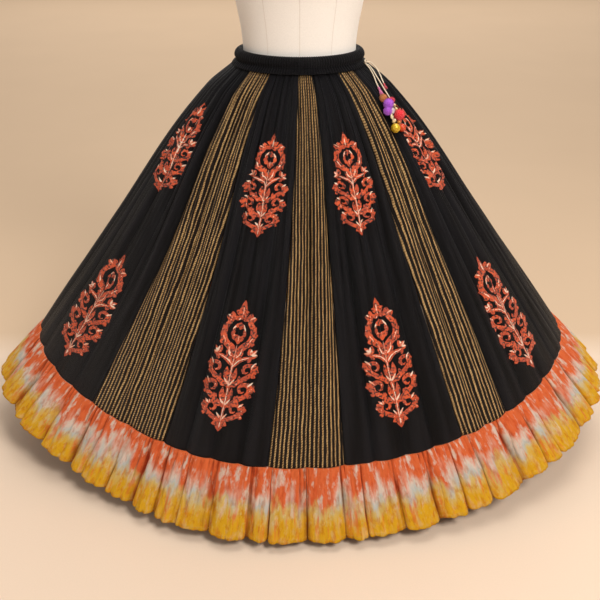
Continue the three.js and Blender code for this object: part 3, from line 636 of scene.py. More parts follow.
class Gore:
    """One panel of the body: its cloth, its edges in degrees of girth, and the folds across it"""

    def __init__(self, cloth, number, start, end, folds, first_fold):
        self.name = f"{cloth}_gore_{number:02d}"
        self.start = start
        self.end = end
        self.folds = folds
        self.first_fold = first_fold
        self.motifs = []

    def girth(self, across, share):
        band = blend(self.start[0], self.end[0], across)
        seam = blend(self.start[1], self.end[1], across)
        return blend(band, seam, share), seam

    def width(self, share):
        """Width of the panel across its mean surface, at one share of its length"""
        steps = np.linspace(0, 1, WIDTH_POINTS)
        girth, _ = self.girth(steps, share)
        run = body_point(girth, share + 0 * steps, 0)
        return float(np.linalg.norm(np.diff(run, axis=0), axis=1).sum())

    def calm(self, across, share):
        """One where the cloth pleats freely, less where a motif stiffens it"""
        free = 1
        for top_across, top, foot_across, foot in self.motifs:
            down = (share - (top + foot) / 2) / ((foot - top) * MOTIF_CALM["down"])
            side = (across - (top_across + foot_across) / 2) * self.folds / MOTIF_CALM["across"]
            free = free * (1 - MOTIF_CALM["most"] * np.exp(-((down**2 + side**2) ** 2)))
        return free

    def pleats(self, across, share):
        """Lift of the soft pleats in millimetres, and their full depth"""
        _, seam = self.girth(across, share)
        free = self.calm(across, share) * bpy.context.scene.lehenga_cloth.pleats
        lift = full = 0
        for order, layer in enumerate(PLEAT_LAYERS):
            depth = eased(share, PLEAT_SHARES, layer["depth"])
            lift = lift + free * depth * ridges(seam, share, layer["waves"], layer["wander"], order)
            full = full + depth
        return lift, full

    def ridge(self, across, share):
        """How far each point stands out of its pleats, from 0 in the creases to 1"""
        lift, full = self.pleats(across, share)
        return 0.5 + lift / full * RIDGE_GAIN

    def surface(self, across, share, off=0.0):
        girth, _ = self.girth(across, share)
        fold = fold_wave(across * self.folds, BODY_FOLD_ROUNDNESS, self.first_fold)
        lift = fold * eased(share, BODY_SHARES, BODY_FOLD_DEPTH) + self.pleats(across, share)[0]
        panel_width = blend(self.width(0), self.width(1), share)
        edge = np.minimum(across, 1 - across) * panel_width / SEAM_TUCK_WIDTH
        return body_point(girth, share, lift * MILLIMETRE - SEAM_TUCK * np.exp(-(edge**2)) + off)


def make_gores():
    gores = []
    folds_so_far = 0
    counts = {"stripe": 0, "black": 0}
    for index, (band_middle, band_width, seam_middle, seam_width) in enumerate(STRIPE_GORES):
        following = STRIPE_GORES[(index + 1) % len(STRIPE_GORES)]
        lap = FULL_TURN if index + 1 == len(STRIPE_GORES) else 0
        start = (band_middle - band_width / 2, seam_middle - seam_width / 2)
        end = (band_middle + band_width / 2, seam_middle + seam_width / 2)
        beyond = (lap + following[0] - following[1] / 2, lap + following[2] - following[3] / 2)
        black_folds = round((beyond[1] - end[1]) / BLACK_FOLD_WIDTH)
        for cloth, edges, folds in (
            ("stripe", (start, end), FOLDS_IN_STRIPE_GORE),
            ("black", (end, beyond), black_folds),
        ):
            counts[cloth] += 1
            gores.append(Gore(cloth, counts[cloth], *edges, folds, folds_so_far))
            folds_so_far += folds
    for gore in gores:
        if gore.name.startswith("black"):
            heights, across = MOTIF_PLACES.get(gore.name, MOTIFS_BEHIND)
            gore.motifs = [(a[0], h[0], a[1], h[1]) for a, h in zip(across, heights)]
    return gores


def frill_girth(fold_place):
    """Girth in degrees at a place counted in folds, which are wide and narrow by turns"""
    turn = 2 * math.pi * fold_place / FRILL_FOLDS
    drift = sum(size * np.sin(waves * turn) for waves, size in FRILL_DRIFT)
    return FRILL_TURN + FULL_TURN * (fold_place + drift) / FRILL_FOLDS


def frill_point(fold_place, share, body_lift):
    """The frill's own folds grow out of the body's as it falls. Also gives how far each point stands out."""
    girth = frill_girth(fold_place)
    direction, band, seam, hem = skirt_side(girth)
    settings = bpy.context.scene.lehenga_frill
    fold = fold_wave(fold_place, FRILL_FOLD_ROUNDNESS, 0, FRILL_FOLD_LEAN)
    fold = fold * eased(share, FRILL_SHARES, FRILL_FOLD_DEPTH)
    gather = ridges(girth, share, FRILL_GATHER_WAVES, FRILL_GATHER_WANDER, FRILL_GATHER_SEED)
    creased = (FRILL_CREASE_WAVES, FRILL_CREASE_WANDER, FRILL_CREASE_SEED, FRILL_CREASE_ROUNDNESS)
    crease = ridges(girth, share, *creased)
    gather = gather * eased(share, FRILL_GATHER_SHARES, FRILL_GATHER_DEPTH)
    crease = crease * eased(share, FRILL_GATHER_SHARES, FRILL_CREASE_DEPTH)
    lift = fold + settings.gathers * (gather + crease)
    ridge = (lift - lift.min(axis=-1, keepdims=True)) / np.ptp(lift, axis=-1, keepdims=True)
    radius = blend(seam, hem, share) + lift * MILLIMETRE + (1 - share) ** 2 * body_lift
    seam_height = hanging_height(BODY_LENGTH, seam, band)
    hem_height = hanging_height(SKIRT_LENGTH, hem, band)
    return points_on(radius, direction, blend(seam_height, hem_height, share)), ridge


# Meshes


def add_object(name, mesh, material):
    piece = bpy.data.objects.new(name, mesh)
    bpy.context.scene.collection.objects.link(piece)
    piece.data.materials.append(material)
    return piece


def grid_piece(name, points, uv, material, wrap_columns=False, wrap_rows=False, ridge=None):
    """A smooth sheet through a grid of points, rows down and columns round, with its cut as its UV map

    Ridge says, from 0 to 1, how far each point stands out of the creases, and the cotton's colour uses it for
    painted sheen on the crests and painted shade in the creases.
    """
    rows, columns = points.shape[:2]
    index = np.arange(rows * columns).reshape(rows, columns)
    if wrap_columns:
        index = np.concatenate([index, index[:, :1]], axis=1)
        uv = np.concatenate([uv, uv[:, -1:] * 2 - uv[:, -2:-1]], axis=1)
    if wrap_rows:
        index = np.concatenate([index, index[:1]], axis=0)
        uv = np.concatenate([uv, uv[-1:] * 2 - uv[-2:-1]], axis=0)
    corners = ((slice(None, -1), slice(None, -1)), (slice(1, None), slice(None, -1)))
    corners = corners + ((slice(1, None), slice(1, None)), (slice(None, -1), slice(1, None)))
    quads = np.stack([index[at] for at in corners], axis=-1).reshape(-1, 4)
    quad_uv = np.stack([uv[at] for at in corners], axis=-2).reshape(-1, 2)
    mesh = bpy.data.meshes.new(name)
    mesh.from_pydata(points.reshape(-1, 3).tolist(), [], quads.tolist())
    mesh.uv_layers.new(name="cut").data.foreach_set("uv", quad_uv.ravel())
    mesh.polygons.foreach_set("use_smooth", [True] * len(quads))
    if ridge is not None:
        mesh.attributes.new("ridge", "FLOAT", "POINT").data.foreach_set("value", np.clip(ridge, 0, 1).ravel())
    return add_object(name, mesh, material)


def give_wall(piece, thickness):
    wall = piece.modifiers.new("wall", "SOLIDIFY")
    wall.thickness = thickness
    wall.offset = -1
    wall.use_rim = True


def settle(piece, slot, *nodes):
    """The piece rides with the frame and stands for its nodes. Its slot is not used."""
    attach(piece, "root")
    if nodes:
        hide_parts(*nodes)
    return piece


def close_ends(piece):
    """Closes the open ends of a turned or stacked shape and turns its faces out"""
    shape = bmesh.new()
    shape.from_mesh(piece.data)
    open_edges = [edge for edge in shape.edges if edge.is_boundary]
    if open_edges:
        made = bmesh.ops.edgeloop_fill(shape, edges=open_edges)
        for face in made["faces"]:
            face.smooth = False
    bmesh.ops.recalc_face_normals(shape, faces=shape.faces)
    shape.to_mesh(piece.data)
    shape.free()
    return piece


def turned_piece(name, outline, sides, material, middle=(0, 0, 0)):
    """A shape turned about the upright axis, from (radius, height) corners"""
    angle = np.arange(sides) * 2 * math.pi / sides
    rows = []
    for radius, up in outline:
        ring = points_on(radius + 0 * angle, angle, up + 0 * angle)
        rows.append(ring + np.array(middle))
    heights = np.array([up for _, up in outline])
    uv = np.stack(np.meshgrid(angle, heights), axis=-1)
    return close_ends(grid_piece(name, np.array(rows), uv, material, wrap_columns=True))


def smooth_route(points, count):
    """A centripetal curve through the points, evenly resampled"""
    knots = np.array(points, float)
    before = 2 * knots[0] - knots[1]
    after = 2 * knots[-1] - knots[-2]
    keys = np.vstack([before, knots, after])
    fine = []
    for at in range(1, len(keys) - 2):
        quad = keys[at - 1 : at + 3]
        t = np.concatenate([[0], np.cumsum(np.sqrt(np.linalg.norm(np.diff(quad, axis=0), axis=1)))])
        for value in np.linspace(t[1], t[2], ROUTE_STEPS, endpoint=False):
            level = list(quad)
            for spans in (((0, 1), (1, 2), (2, 3)), ((0, 2), (1, 3)), ((1, 2),)):
                level = [
                    (level[at] * (t[high] - value) + level[at + 1] * (value - t[low])) / (t[high] - t[low])
                    for at, (low, high) in enumerate(spans)
                ]
            fine.append(level[0])
    fine = np.array([*fine, keys[-2]])
    run = along(fine)
    even = np.linspace(0, run[-1], count)
    return np.stack([np.interp(even, run, fine[:, axis]) for axis in range(3)], axis=-1)


def along(route):
    """Distance run along a route at each of its points"""
    return np.concatenate([[0], np.cumsum(np.linalg.norm(np.diff(route, axis=0), axis=1))])


def tube_piece(name, route, radius, sides, material, closed=False, plies=0, pitch=1.0, taper=None):
    """A tube round a route, plain or of twisted plies, with UV round it and in metres along it"""
    route = np.array(route)
    ahead = np.roll(route, -1, axis=0) - np.roll(route, 1, axis=0)
    if not closed:
        ahead[0], ahead[-1] = route[1] - route[0], route[-1] - route[-2]
    ahead = ahead / np.linalg.norm(ahead, axis=1, keepdims=True)
    side = np.cross(ahead[0], CORD_SIDE_HINT)
    run = along(route)
    angle = np.arange(sides) * 2 * math.pi / sides
    rows = []
    for at, (point, heading) in enumerate(zip(route, ahead)):
        side = side - heading * (side @ heading)
        side = side / np.linalg.norm(side)
        upward = np.cross(heading, side)
        reach = radius * (taper[at] if taper is not None else 1)
        if plies:
            twist = angle - 2 * math.pi * run[at] / pitch
            reach = reach * (1 - PLY_DEPTH + PLY_DEPTH * np.cos(plies * twist))
        offset = np.cos(angle)[:, None] * side + np.sin(angle)[:, None] * upward
        rows.append(point + np.broadcast_to(reach, angle.shape)[:, None] * offset)
    uv = np.stack(np.meshgrid(angle / (2 * math.pi), run), axis=-1)
    tube = grid_piece(name, np.array(rows), uv, material, wrap_columns=True, wrap_rows=closed)
    return close_ends(tube)


def join_pieces(name, pieces):
    """Several meshes as one piece, with the materials of the first"""
    joined = bmesh.new()
    for piece in pieces:
        joined.from_mesh(piece.data)
    mesh = bpy.data.meshes.new(name)
    joined.to_mesh(mesh)
    joined.free()
    material = pieces[0].data.materials[0]
    for piece in pieces:
        bpy.data.objects.remove(piece)
    return add_object(name, mesh, material)


def node_points(name):
    """Corners of a CAD node at rest"""
    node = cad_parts[name]
    flat = np.empty(len(node.data.vertices) * 3)
    node.data.vertices.foreach_get("co", flat)
    return flat.reshape(-1, 3)


def ball_middle(name, size):
    """Middle of the round part of a node, leaving out its thread"""
    corners = node_points(name)
    middle = corners.mean(axis=0)
    for _ in range(BALL_FIT_ROUNDS):
        near = corners[np.linalg.norm(corners - middle, axis=1) < size * BALL_FIT_REACH]
        matrix = np.hstack([2 * near, np.ones((len(near), 1))])
        found = np.linalg.lstsq(matrix, (near**2).sum(axis=1), rcond=None)[0]
        middle = found[:3]
    return middle


# Shader building blocks


def add_node(tree, kind, inputs=None, **settings):
    made = tree.nodes.new(kind)
    for key, value in settings.items():
        setattr(made, key, value)
    for key, value in (inputs or {}).items():
        if isinstance(value, bpy.types.NodeSocket):
            tree.links.new(value, made.inputs[key])
        else:
            made.inputs[key].default_value = value
    return made


def calc(tree, operation, *values, clamp=False):
    inputs = dict(enumerate(values))
    return add_node(tree, "ShaderNodeMath", inputs, operation=operation, use_clamp=clamp).outputs[0]


def wave(tree, turns):
    """A sine from -1 to 1 of a value counted in turns"""
    return calc(tree, "SINE", calc(tree, "MULTIPLY", turns, 2 * math.pi))


def fall(tree, value, start, width):
    """One up to a start, then down to zero over a width"""
    beyond = calc(tree, "DIVIDE", calc(tree, "SUBTRACT", value, start), width)
    return calc(tree, "SUBTRACT", 1.0, beyond, clamp=True)


def opaque(value):
    """A colour with full alpha, and a socket as it is"""
    return value if isinstance(value, bpy.types.NodeSocket) else (*value, 1)


def mix_color(tree, factor, low, high, blend_type="MIX"):
    inputs = {0: factor, 6: opaque(low), 7: opaque(high)}
    return add_node(tree, "ShaderNodeMix", inputs, data_type="RGBA", blend_type=blend_type).outputs[2]


def tint(tree, color, tone):
    return mix_color(tree, 1.0, color, tone, "MULTIPLY")


def lit(color, share):
    """The colour darker or lighter by a share"""
    return tuple(min(1, share * channel) for channel in color)


def ramp(tree, value, stops):
    """Grey or coloured steps: (place, value) pairs"""
    made = add_node(tree, "ShaderNodeValToRGB", {0: value})
    steps = made.color_ramp.elements
    while len(steps) < len(stops):
        steps.new(0.5)
    for step, (place, tone) in zip(steps, stops):
        step.position = place
        step.color = (tone, tone, tone, 1) if isinstance(tone, float) else opaque(tone)
    return made.outputs[0]


def rise(tree, pattern, start, end, most=1.0):
    """Zero up to a start, then up to its most at an end"""
    return ramp(tree, pattern, ((start, 0.0), (end, most)))


def cross_fade(tree, pattern, start, end, low, high, most=1.0):
    """Goes from one colour to another as a pattern's value passes from start to end"""
    return mix_color(tree, rise(tree, pattern, start, end, most), low, high)


def noise(tree, vector, scale, detail=3.0, roughness=0.55):
    inputs = {"Vector": vector, "Scale": scale, "Detail": detail, "Roughness": roughness}
    return add_node(tree, "ShaderNodeTexNoise", inputs).outputs[0]


def streaks(tree, vector, stretch, detail=3.0, roughness=0.55, scale=1.0):
    """Noise with its own scale along each axis"""
    stretched = add_node(tree, "ShaderNodeMapping", {"Vector": vector, "Scale": stretch}).outputs[0]
    return noise(tree, stretched, scale, detail, roughness)


def cut_map(tree):
    """The place on the cut cloth"""
    return add_node(tree, "ShaderNodeUVMap", uv_map="cut").outputs[0]


def axes_of(tree, vector):
    return add_node(tree, "ShaderNodeSeparateXYZ", {0: vector}).outputs


def object_place(tree):
    return add_node(tree, "ShaderNodeTexCoord").outputs["Object"]


def ridge_for_painted_light(tree):
    return add_node(tree, "ShaderNodeAttribute", attribute_name="ridge").outputs["Fac"]


def shared_group(tree, name, build, **inputs):
    """Outputs of a node group, which is built once. Build gives its outputs, by name, from its inputs."""
    group = bpy.data.node_groups.get(name)
    if group is None:
        group = bpy.data.node_groups.new(name, "ShaderNodeTree")
        for label, value in inputs.items():
            kind = "NodeSocketVector" if isinstance(value, bpy.types.NodeSocket) else "NodeSocketFloat"
            group.interface.new_socket(name=label, in_out="INPUT", socket_type=kind)
        sockets = group.nodes.new("NodeGroupInput").outputs
        results = build(group, **{label: sockets[label] for label in inputs})
        for label in results:
            group.interface.new_socket(name=label, in_out="OUTPUT", socket_type="NodeSocketFloat")
        leave = group.nodes.new("NodeGroupOutput")
        for label, value in results.items():
            group.links.new(value, leave.inputs[label])
    return add_node(tree, "ShaderNodeGroup", inputs, node_tree=group).outputs


def plain_weave(group, cut, threads_per_metre):
    """Plain weave with slubs: height of the threads and a slow change of tone"""
    axes = axes_of(group, cut)
    waves = [wave(group, calc(group, "MULTIPLY", axes[at], threads_per_metre)) for at in (0, 1)]
    slubs = streaks(group, cut, (60, 900, 1))
    height = calc(group, "MULTIPLY_ADD", calc(group, "MULTIPLY", *waves), 0.5, slubs)
    return {"Height": height, "Tone": streaks(group, cut, (24, 7, 1), 4.0)}


def crinkle(group, cut):
    """Fine creases that run down the fall of gathered cotton"""
    fine = streaks(group, cut, (150, 9, 1), 2.0)
    wide = streaks(group, cut, (48, 4, 1), 3.0)
    return {"Height": calc(group, "MULTIPLY_ADD", wide, 1.6, fine)}


def gold_lines(group, cut, pitch):
    """Rope-like gold lines on the cut cloth, with a faint line between each two"""
    axes = axes_of(group, cut)
    swayed = calc(group, "MULTIPLY_ADD", streaks(group, cut, (34, 12, 1), 2.0), LINE_SWAY, axes[0])
    within = calc(group, "FRACT", calc(group, "ADD", calc(group, "DIVIDE", swayed, pitch), LINES_BEFORE))
    offset = calc(group, "ABSOLUTE", calc(group, "SUBTRACT", within, 0.5))
    ragged = calc(group, "MULTIPLY_ADD", streaks(group, cut, (420, 300, 1)), LINE_RAGGEDNESS, offset)
    far = calc(group, "SUBTRACT", BETWEEN_PLACE, ragged)
    slant = calc(group, "MULTIPLY_ADD", within, 1.5, calc(group, "MULTIPLY", axes[1], PLIES_PER_METRE))
    line = fall(group, ragged, LINE_HALF_WIDTH, LINE_EDGE)
    between = fall(group, far, 0.0, BETWEEN_WIDTH)
    return {"Line": line, "Between": between, "Twist": wave(group, slant)}


def new_material(name, **principled):
    """A material and its tree, with plain values set on the Principled shader's own sockets"""
    material = bpy.data.materials.new(name)
    material.use_nodes = True
    for key, value in principled.items():
        shader_inputs(material)[key.replace("_", " ")].default_value = value
    return material, material.node_tree


def shader_inputs(material):
    return material.node_tree.nodes["Principled BSDF"].inputs


def finish_material(material, color, height=None, distance=0.0, strength=1.0):
    """Links a material's colour, and the height of its bump"""
    tree = material.node_tree
    tree.links.new(color, shader_inputs(material)["Base Color"])
    if height is not None:
        relief = {"Height": height, "Distance": distance, "Strength": strength}
        tree.links.new(add_node(tree, "ShaderNodeBump", relief).outputs[0], shader_inputs(material)["Normal"])
    return material


# Materials

COTTON = {"Roughness": 0.42, "Sheen_Weight": 0.0, "Specular_IOR_Level": 0.2}
THREADS_PER_METRE = 1500.0
PLIES_PER_METRE = 170.0
LINE_SWAY = 0.006
# Gold lines in shares of their pitch: half width, soft edge, how ragged, and the faint line between two
LINE_HALF_WIDTH = 0.25
LINE_EDGE = 0.06
LINE_RAGGEDNESS = 0.2
BETWEEN_PLACE = 0.6
BETWEEN_WIDTH = 0.09
# Keeps the count of lines above zero, and puts a line at the middle of each gore
LINES_BEFORE = 100.5
CORD_PLIES_PER_METRE = 1100.0
# The motifs' yarns, in radians of their wave in a metre
YARN_WAVE_PER_METRE = 9000.0


def cotton_maps(tree, cut, creases):
    """Height and tone of the weave. The height has the creases in it."""
    weave = shared_group(tree, "Plain weave", plain_weave, cut=cut, threads_per_metre=THREADS_PER_METRE)
    crinkled = shared_group(tree, "Crinkle", crinkle, cut=cut)["Height"]
    return calc(tree, "MULTIPLY_ADD", crinkled, creases, weave["Height"]), weave["Tone"]


def black_cotton():
    settings = bpy.context.scene.lehenga_cloth
    material, tree = new_material("black cotton", **COTTON)
    height, tone = cotton_maps(tree, cut_map(tree), 6.0)
    # Painted sheen: the colour turns lighter on the crests of the pleats and ribs, and in random patches of
    # the weave's tone
    tone_and_painted_sheen = calc(tree, "MULTIPLY_ADD", calc(tree, "SUBTRACT", tone, 0.5), 0.5, ridge_for_painted_light(tree))
    color = cross_fade(tree, tone_and_painted_sheen, 0.45, 0.95, settings.black, settings.painted_sheen_and_patches)
    return finish_material(material, color, height, 0.0009, 0.9)


def striped_cotton():
    settings = bpy.context.scene.lehenga_cloth
    material, tree = new_material("striped cotton", **COTTON)
    cut = cut_map(tree)
    height, _ = cotton_maps(tree, cut, 3.0)
    lines = shared_group(tree, "Gold lines", gold_lines, cut=cut, pitch=settings.stripe_pitch)
    flecks = streaks(tree, cut, (380, 190, 1), 4.0, 0.7)
    faded = streaks(tree, cut, (120, 18, 1), 2.0)
    worn = calc(tree, "MULTIPLY_ADD", lines["Twist"], 0.15, calc(tree, "MULTIPLY_ADD", faded, 0.5, flecks))
    gold = cross_fade(tree, worn, 0.56, 0.92, settings.tan, settings.gold)
    between = calc(tree, "MULTIPLY", lines["Between"], 0.7)
    color = mix_color(tree, lines["Line"], mix_color(tree, between, settings.black, settings.brown), gold)
    raised = calc(tree, "MULTIPLY_ADD", lines["Line"], 1.4, height)
    return finish_material(material, color, raised, 0.0006, 0.8)


def frill_cotton():
    dye = bpy.context.scene.lehenga_frill
    material, tree = new_material("tie-dyed cotton", **{**COTTON, "Roughness": 0.8})
    cut = cut_map(tree)
    axes = axes_of(tree, cut)
    share = calc(tree, "DIVIDE", axes[1], FRILL_LENGTH)
    streak = calc(tree, "SUBTRACT", streaks(tree, cut, (36, 11, 1), 5.0, 0.6), 0.5)
    broad = calc(tree, "SUBTRACT", streaks(tree, cut, (13, 6, 1), 2.0), 0.5)
    bled = calc(tree, "MULTIPLY_ADD", broad, 0.55, calc(tree, "MULTIPLY_ADD", streak, 0.85, share))
    direct = ramp(tree, bled, ((0.44, dye.coral), (0.58, dye.straw), (0.72, dye.yellow)))
    undyed = ((0.2, dye.coral), (0.36, dye.blush), (0.5, dye.mist), (0.64, dye.straw), (0.8, dye.yellow))
    patches = streaks(tree, cut, (12, 3, 1), scale=1.3)
    color = cross_fade(tree, patches, 0.42, 0.55, direct, ramp(tree, bled, undyed))
    # Undyed wisps in the coral, deeper flecks everywhere, coral runs and bare spots in the yellow
    wisps = rise(tree, streaks(tree, cut, (54, 22, 1), 4.0, 0.6), 0.53, 0.63, 0.9)
    upper = ramp(tree, share, ((0.5, 1.0), (0.75, 0.25)))
    color = mix_color(tree, calc(tree, "MULTIPLY", wisps, upper), color, dye.blush)
    flecks = streaks(tree, cut, (80, 34, 1), 4.0, 0.6)
    color = cross_fade(tree, flecks, 0.5, 0.64, color, tint(tree, color, shade("f0c8b4")), 0.8)
    lower = ramp(tree, share, ((0.5, 0.0), (0.66, 1.0), (0.9, 0.5)))
    runs = rise(tree, streaks(tree, cut, (44, 7, 1), scale=1.7), 0.55, 0.64, 0.75)
    color = mix_color(tree, calc(tree, "MULTIPLY", runs, lower), color, dye.coral)
    bare = rise(tree, streaks(tree, cut, (38, 20, 1), 4.0, 0.65, 2.3), 0.54, 0.66, 0.8)
    color = mix_color(tree, calc(tree, "MULTIPLY", bare, lower), color, dye.straw)
    # Painted shade in the creases: the colour darkens to tan where the ridge attribute is low, and stays as
    # it is on the crests
    creases = ((0.08, shade("a87850")), (0.4, shade("f4ece4")), (0.6, (1.0, 1.0, 1.0)))
    color = tint(tree, color, ramp(tree, ridge_for_painted_light(tree), creases))
    height, _ = cotton_maps(tree, cut, 6.0)
    turned_hem = ramp(tree, share, ((0.94, 0.0), (0.95, 1.0), (0.99, 1.0)))
    return finish_material(material, color, calc(tree, "ADD", height, turned_hem), 0.0009, 0.9)


def motif_thread():
    dye = bpy.context.scene.lehenga_motif
    material, tree = new_material("motif thread", Roughness=0.6, Sheen_Weight=0.1)
    cut = cut_map(tree)
    axes = axes_of(tree, cut)
    patches = noise(tree, cut, 120.0, 4.0, 0.7)
    color = cross_fade(tree, noise(tree, cut, 45.0), 0.4, 0.6, dye.brick, dye.orange)
    color = cross_fade(tree, patches, 0.6, 0.65, color, dye.pink, 0.8)
    color = cross_fade(tree, patches, 0.64, 0.67, color, dye.cream)
    gaps = noise(tree, cut, 170.0, 3.0, 0.6)
    color = cross_fade(tree, gaps, 0.52, 0.57, color, shade("2c130e"), 0.95)
    slant = calc(tree, "MULTIPLY", calc(tree, "ADD", axes[0], axes[1]), YARN_WAVE_PER_METRE)
    return finish_material(material, color, calc(tree, "SINE", slant), 0.0002, 0.6)


def highlight_thread():
    dye = bpy.context.scene.lehenga_motif
    material, tree = new_material("motif highlight", Roughness=0.55, Sheen_Weight=0.1)
    cut = cut_map(tree)
    axes = axes_of(tree, cut)
    patches = noise(tree, cut, 90.0, 3.0, 0.6)
    color = cross_fade(tree, patches, 0.42, 0.5, dye.pink, dye.cream)
    color = cross_fade(tree, patches, 0.56, 0.62, color, dye.orange)
    stitch = calc(tree, "SINE", calc(tree, "MULTIPLY", axes[1], YARN_WAVE_PER_METRE))
    return finish_material(material, color, stitch, 0.0002, 0.6)


def cord_cotton():
    settings = bpy.context.scene.lehenga_trim
    material, tree = new_material("cord cotton", Roughness=0.75, Sheen_Weight=0.15)
    cut = cut_map(tree)
    axes = axes_of(tree, cut)
    round_it = calc(tree, "MULTIPLY", axes[0], 3.0)
    ply = wave(tree, calc(tree, "MULTIPLY_ADD", axes[1], CORD_PLIES_PER_METRE, round_it))
    fuzz = streaks(tree, cut, (30, 2500, 1), 2.0)
    tone = ramp(tree, calc(tree, "MULTIPLY_ADD", ply, 0.12, fuzz), ((0.3, 0.72), (0.6, 1.0)))
    height = calc(tree, "MULTIPLY_ADD", ply, 0.5, fuzz)
    return finish_material(material, tint(tree, tone, settings.cord), height, 0.0002, 0.7)


def wool(name, web_color):
    material, tree = new_material(name, Roughness=0.95, Sheen_Weight=0.5, Sheen_Roughness=0.6)
    tufts = noise(tree, object_place(tree), 700.0, 3.0, 0.6)
    base = shade(web_color)
    color = cross_fade(tree, tufts, 0.35, 0.6, lit(base, 0.7), base)
    return finish_material(material, color, tufts, 0.0005, 0.8)


def bead_finish(name, web_color):
    metal = 0.35 if name == "bead_gold" else 0.0
    material, tree = new_material(name, Roughness=0.26, Metallic=metal, Coat_Weight=0.4)
    mottle = noise(tree, object_place(tree), 380.0)
    base = shade(web_color)
    color = cross_fade(tree, mottle, 0.38, 0.6, lit(base, 0.55), base)
    return finish_material(material, color, mottle, 0.0002, 0.4)


# The form's upright seams, in degrees from its front, and how wide each looks
FORM_SEAMS = (0.0, 33.0, -33.0, 90.0, -90.0, 147.0, -147.0, 180.0)
FORM_SEAM_WIDTH = 0.6


def form_cloth():
    settings = bpy.context.scene.lehenga_form
    material, tree = new_material("form cloth", Roughness=0.88, Sheen_Weight=0.12, Specular_IOR_Level=0.3)
    axes = axes_of(tree, cut_map(tree))
    aways = [calc(tree, "ABSOLUTE", calc(tree, "SUBTRACT", axes[0], seam)) for seam in FORM_SEAMS]
    nearest = aways[0]
    for away in aways[1:]:
        nearest = calc(tree, "MINIMUM", nearest, away)
    groove = fall(tree, nearest, 0.0, FORM_SEAM_WIDTH)
    place = object_place(tree)
    linen = streaks(tree, place, (1500, 1500, 260))
    cross_linen = streaks(tree, place, (260, 260, 1500))
    tone = ramp(tree, calc(tree, "MULTIPLY", linen, cross_linen), ((0.1, 0.9), (0.4, 1.0)))
    color = tint(tree, tone, settings.cloth)
    color = mix_color(tree, calc(tree, "MULTIPLY", groove, 0.3), color, shade("b89c80"))
    height = calc(tree, "MULTIPLY_ADD", groove, -2.5, calc(tree, "ADD", linen, cross_linen))
    return finish_material(material, color, height, 0.0003, 0.6)


def cap_wood():
    base = bpy.context.scene.lehenga_form.wood
    material, tree = new_material("cap wood", Roughness=0.42, Coat_Weight=0.25)
    grain = streaks(tree, object_place(tree), (16, 150, 150), 5.0, 0.6)
    color = cross_fade(tree, grain, 0.35, 0.6, lit(base, 0.45), base)
    return finish_material(material, color, grain, 0.0003, 0.4)


def stand_steel():
    base = bpy.context.scene.lehenga_form.steel
    material, tree = new_material("stand steel", Metallic=0.6)
    orange_peel = noise(tree, object_place(tree), 900.0, 2.0)
    smudges = noise(tree, object_place(tree), 14.0, 4.0)
    color = cross_fade(tree, smudges, 0.45, 0.7, base, lit(base, 1.9))
    polish = ramp(tree, smudges, ((0.3, 0.38), (0.7, 0.55)))
    tree.links.new(polish, shader_inputs(material)["Roughness"])
    return finish_material(material, color, orange_peel, 0.0002, 0.3)


def stitch_thread(name, web_color):
    material, tree = new_material(name, Roughness=0.7)
    ply = noise(tree, object_place(tree), 2600.0, 2.0)
    base = shade(web_color)
    return finish_material(material, mix_color(tree, ply, lit(base, 0.6), base))


# The floor: how far it reaches, and from where to where it turns into the backdrop behind the form
FLOOR_REACH = 14.0
BACKDROP_START = 0.26
BACKDROP_END = 0.40


def studio_floor():
    """Pale floor that turns into the tan backdrop behind the form"""
    settings = bpy.context.scene.lehenga_stage
    material, tree = new_material("studio floor", Roughness=0.8, Specular_IOR_Level=0.1)
    place = object_place(tree)
    edges = {0: axes_of(tree, place)[1], 1: BACKDROP_START, 2: BACKDROP_END}
    fade = add_node(tree, "ShaderNodeMapRange", edges).outputs[0]
    grain, cloudy = noise(tree, place, 260.0), noise(tree, place, 1.6, 2.0)
    speckle = calc(tree, "MULTIPLY_ADD", grain, 0.5, calc(tree, "MULTIPLY", cloudy, 0.5))
    color = mix_color(tree, fade, settings.floor, settings.backdrop)
    color = tint(tree, color, ramp(tree, speckle, ((0.3, 0.95), (0.7, 1.0))))
    return finish_material(material, color, grain, 0.0002, 0.2)


# Geometry nodes


def node_input(modifier, label, value):
    """Sets a modifier's input by its socket's identifier"""
    for item in modifier.node_group.interface.items_tree:
        if item.item_type == "SOCKET" and item.in_out == "INPUT" and item.name == label:
            modifier[item.identifier] = value
            return
    raise KeyError(label)


def new_geometry_tree(name, inputs):
    tree = bpy.data.node_groups.new(name, "GeometryNodeTree")
    tree.interface.new_socket(name="Geometry", in_out="INPUT", socket_type="NodeSocketGeometry")
    tree.interface.new_socket(name="Geometry", in_out="OUTPUT", socket_type="NodeSocketGeometry")
    for label, kind in inputs:
        tree.interface.new_socket(name=label, in_out="INPUT", socket_type=kind)
    return tree, tree.nodes.new("NodeGroupInput"), tree.nodes.new("NodeGroupOutput")


def bake_modifier(piece, name):
    """Turns the live node tree into a plain mesh"""
    graph = bpy.context.evaluated_depsgraph_get()
    baked = bpy.data.meshes.new_from_object(piece.evaluated_get(graph))
    piece.modifiers.clear()
    piece.data = baked
    piece.name = name
    return piece


def lay_along(tree, points, shape, rotation, size):
    """Real copies of a shape on points, each turned and sized"""
    nodes = {"Points": points, "Instance": shape, "Rotation": rotation, "Scale": size}
    inputs = {label: node.outputs[0] for label, node in nodes.items()}
    laid = add_node(tree, "GeometryNodeInstanceOnPoints", inputs)
    return add_node(tree, "GeometryNodeRealizeInstances", {0: laid.outputs[0]}).outputs[0]


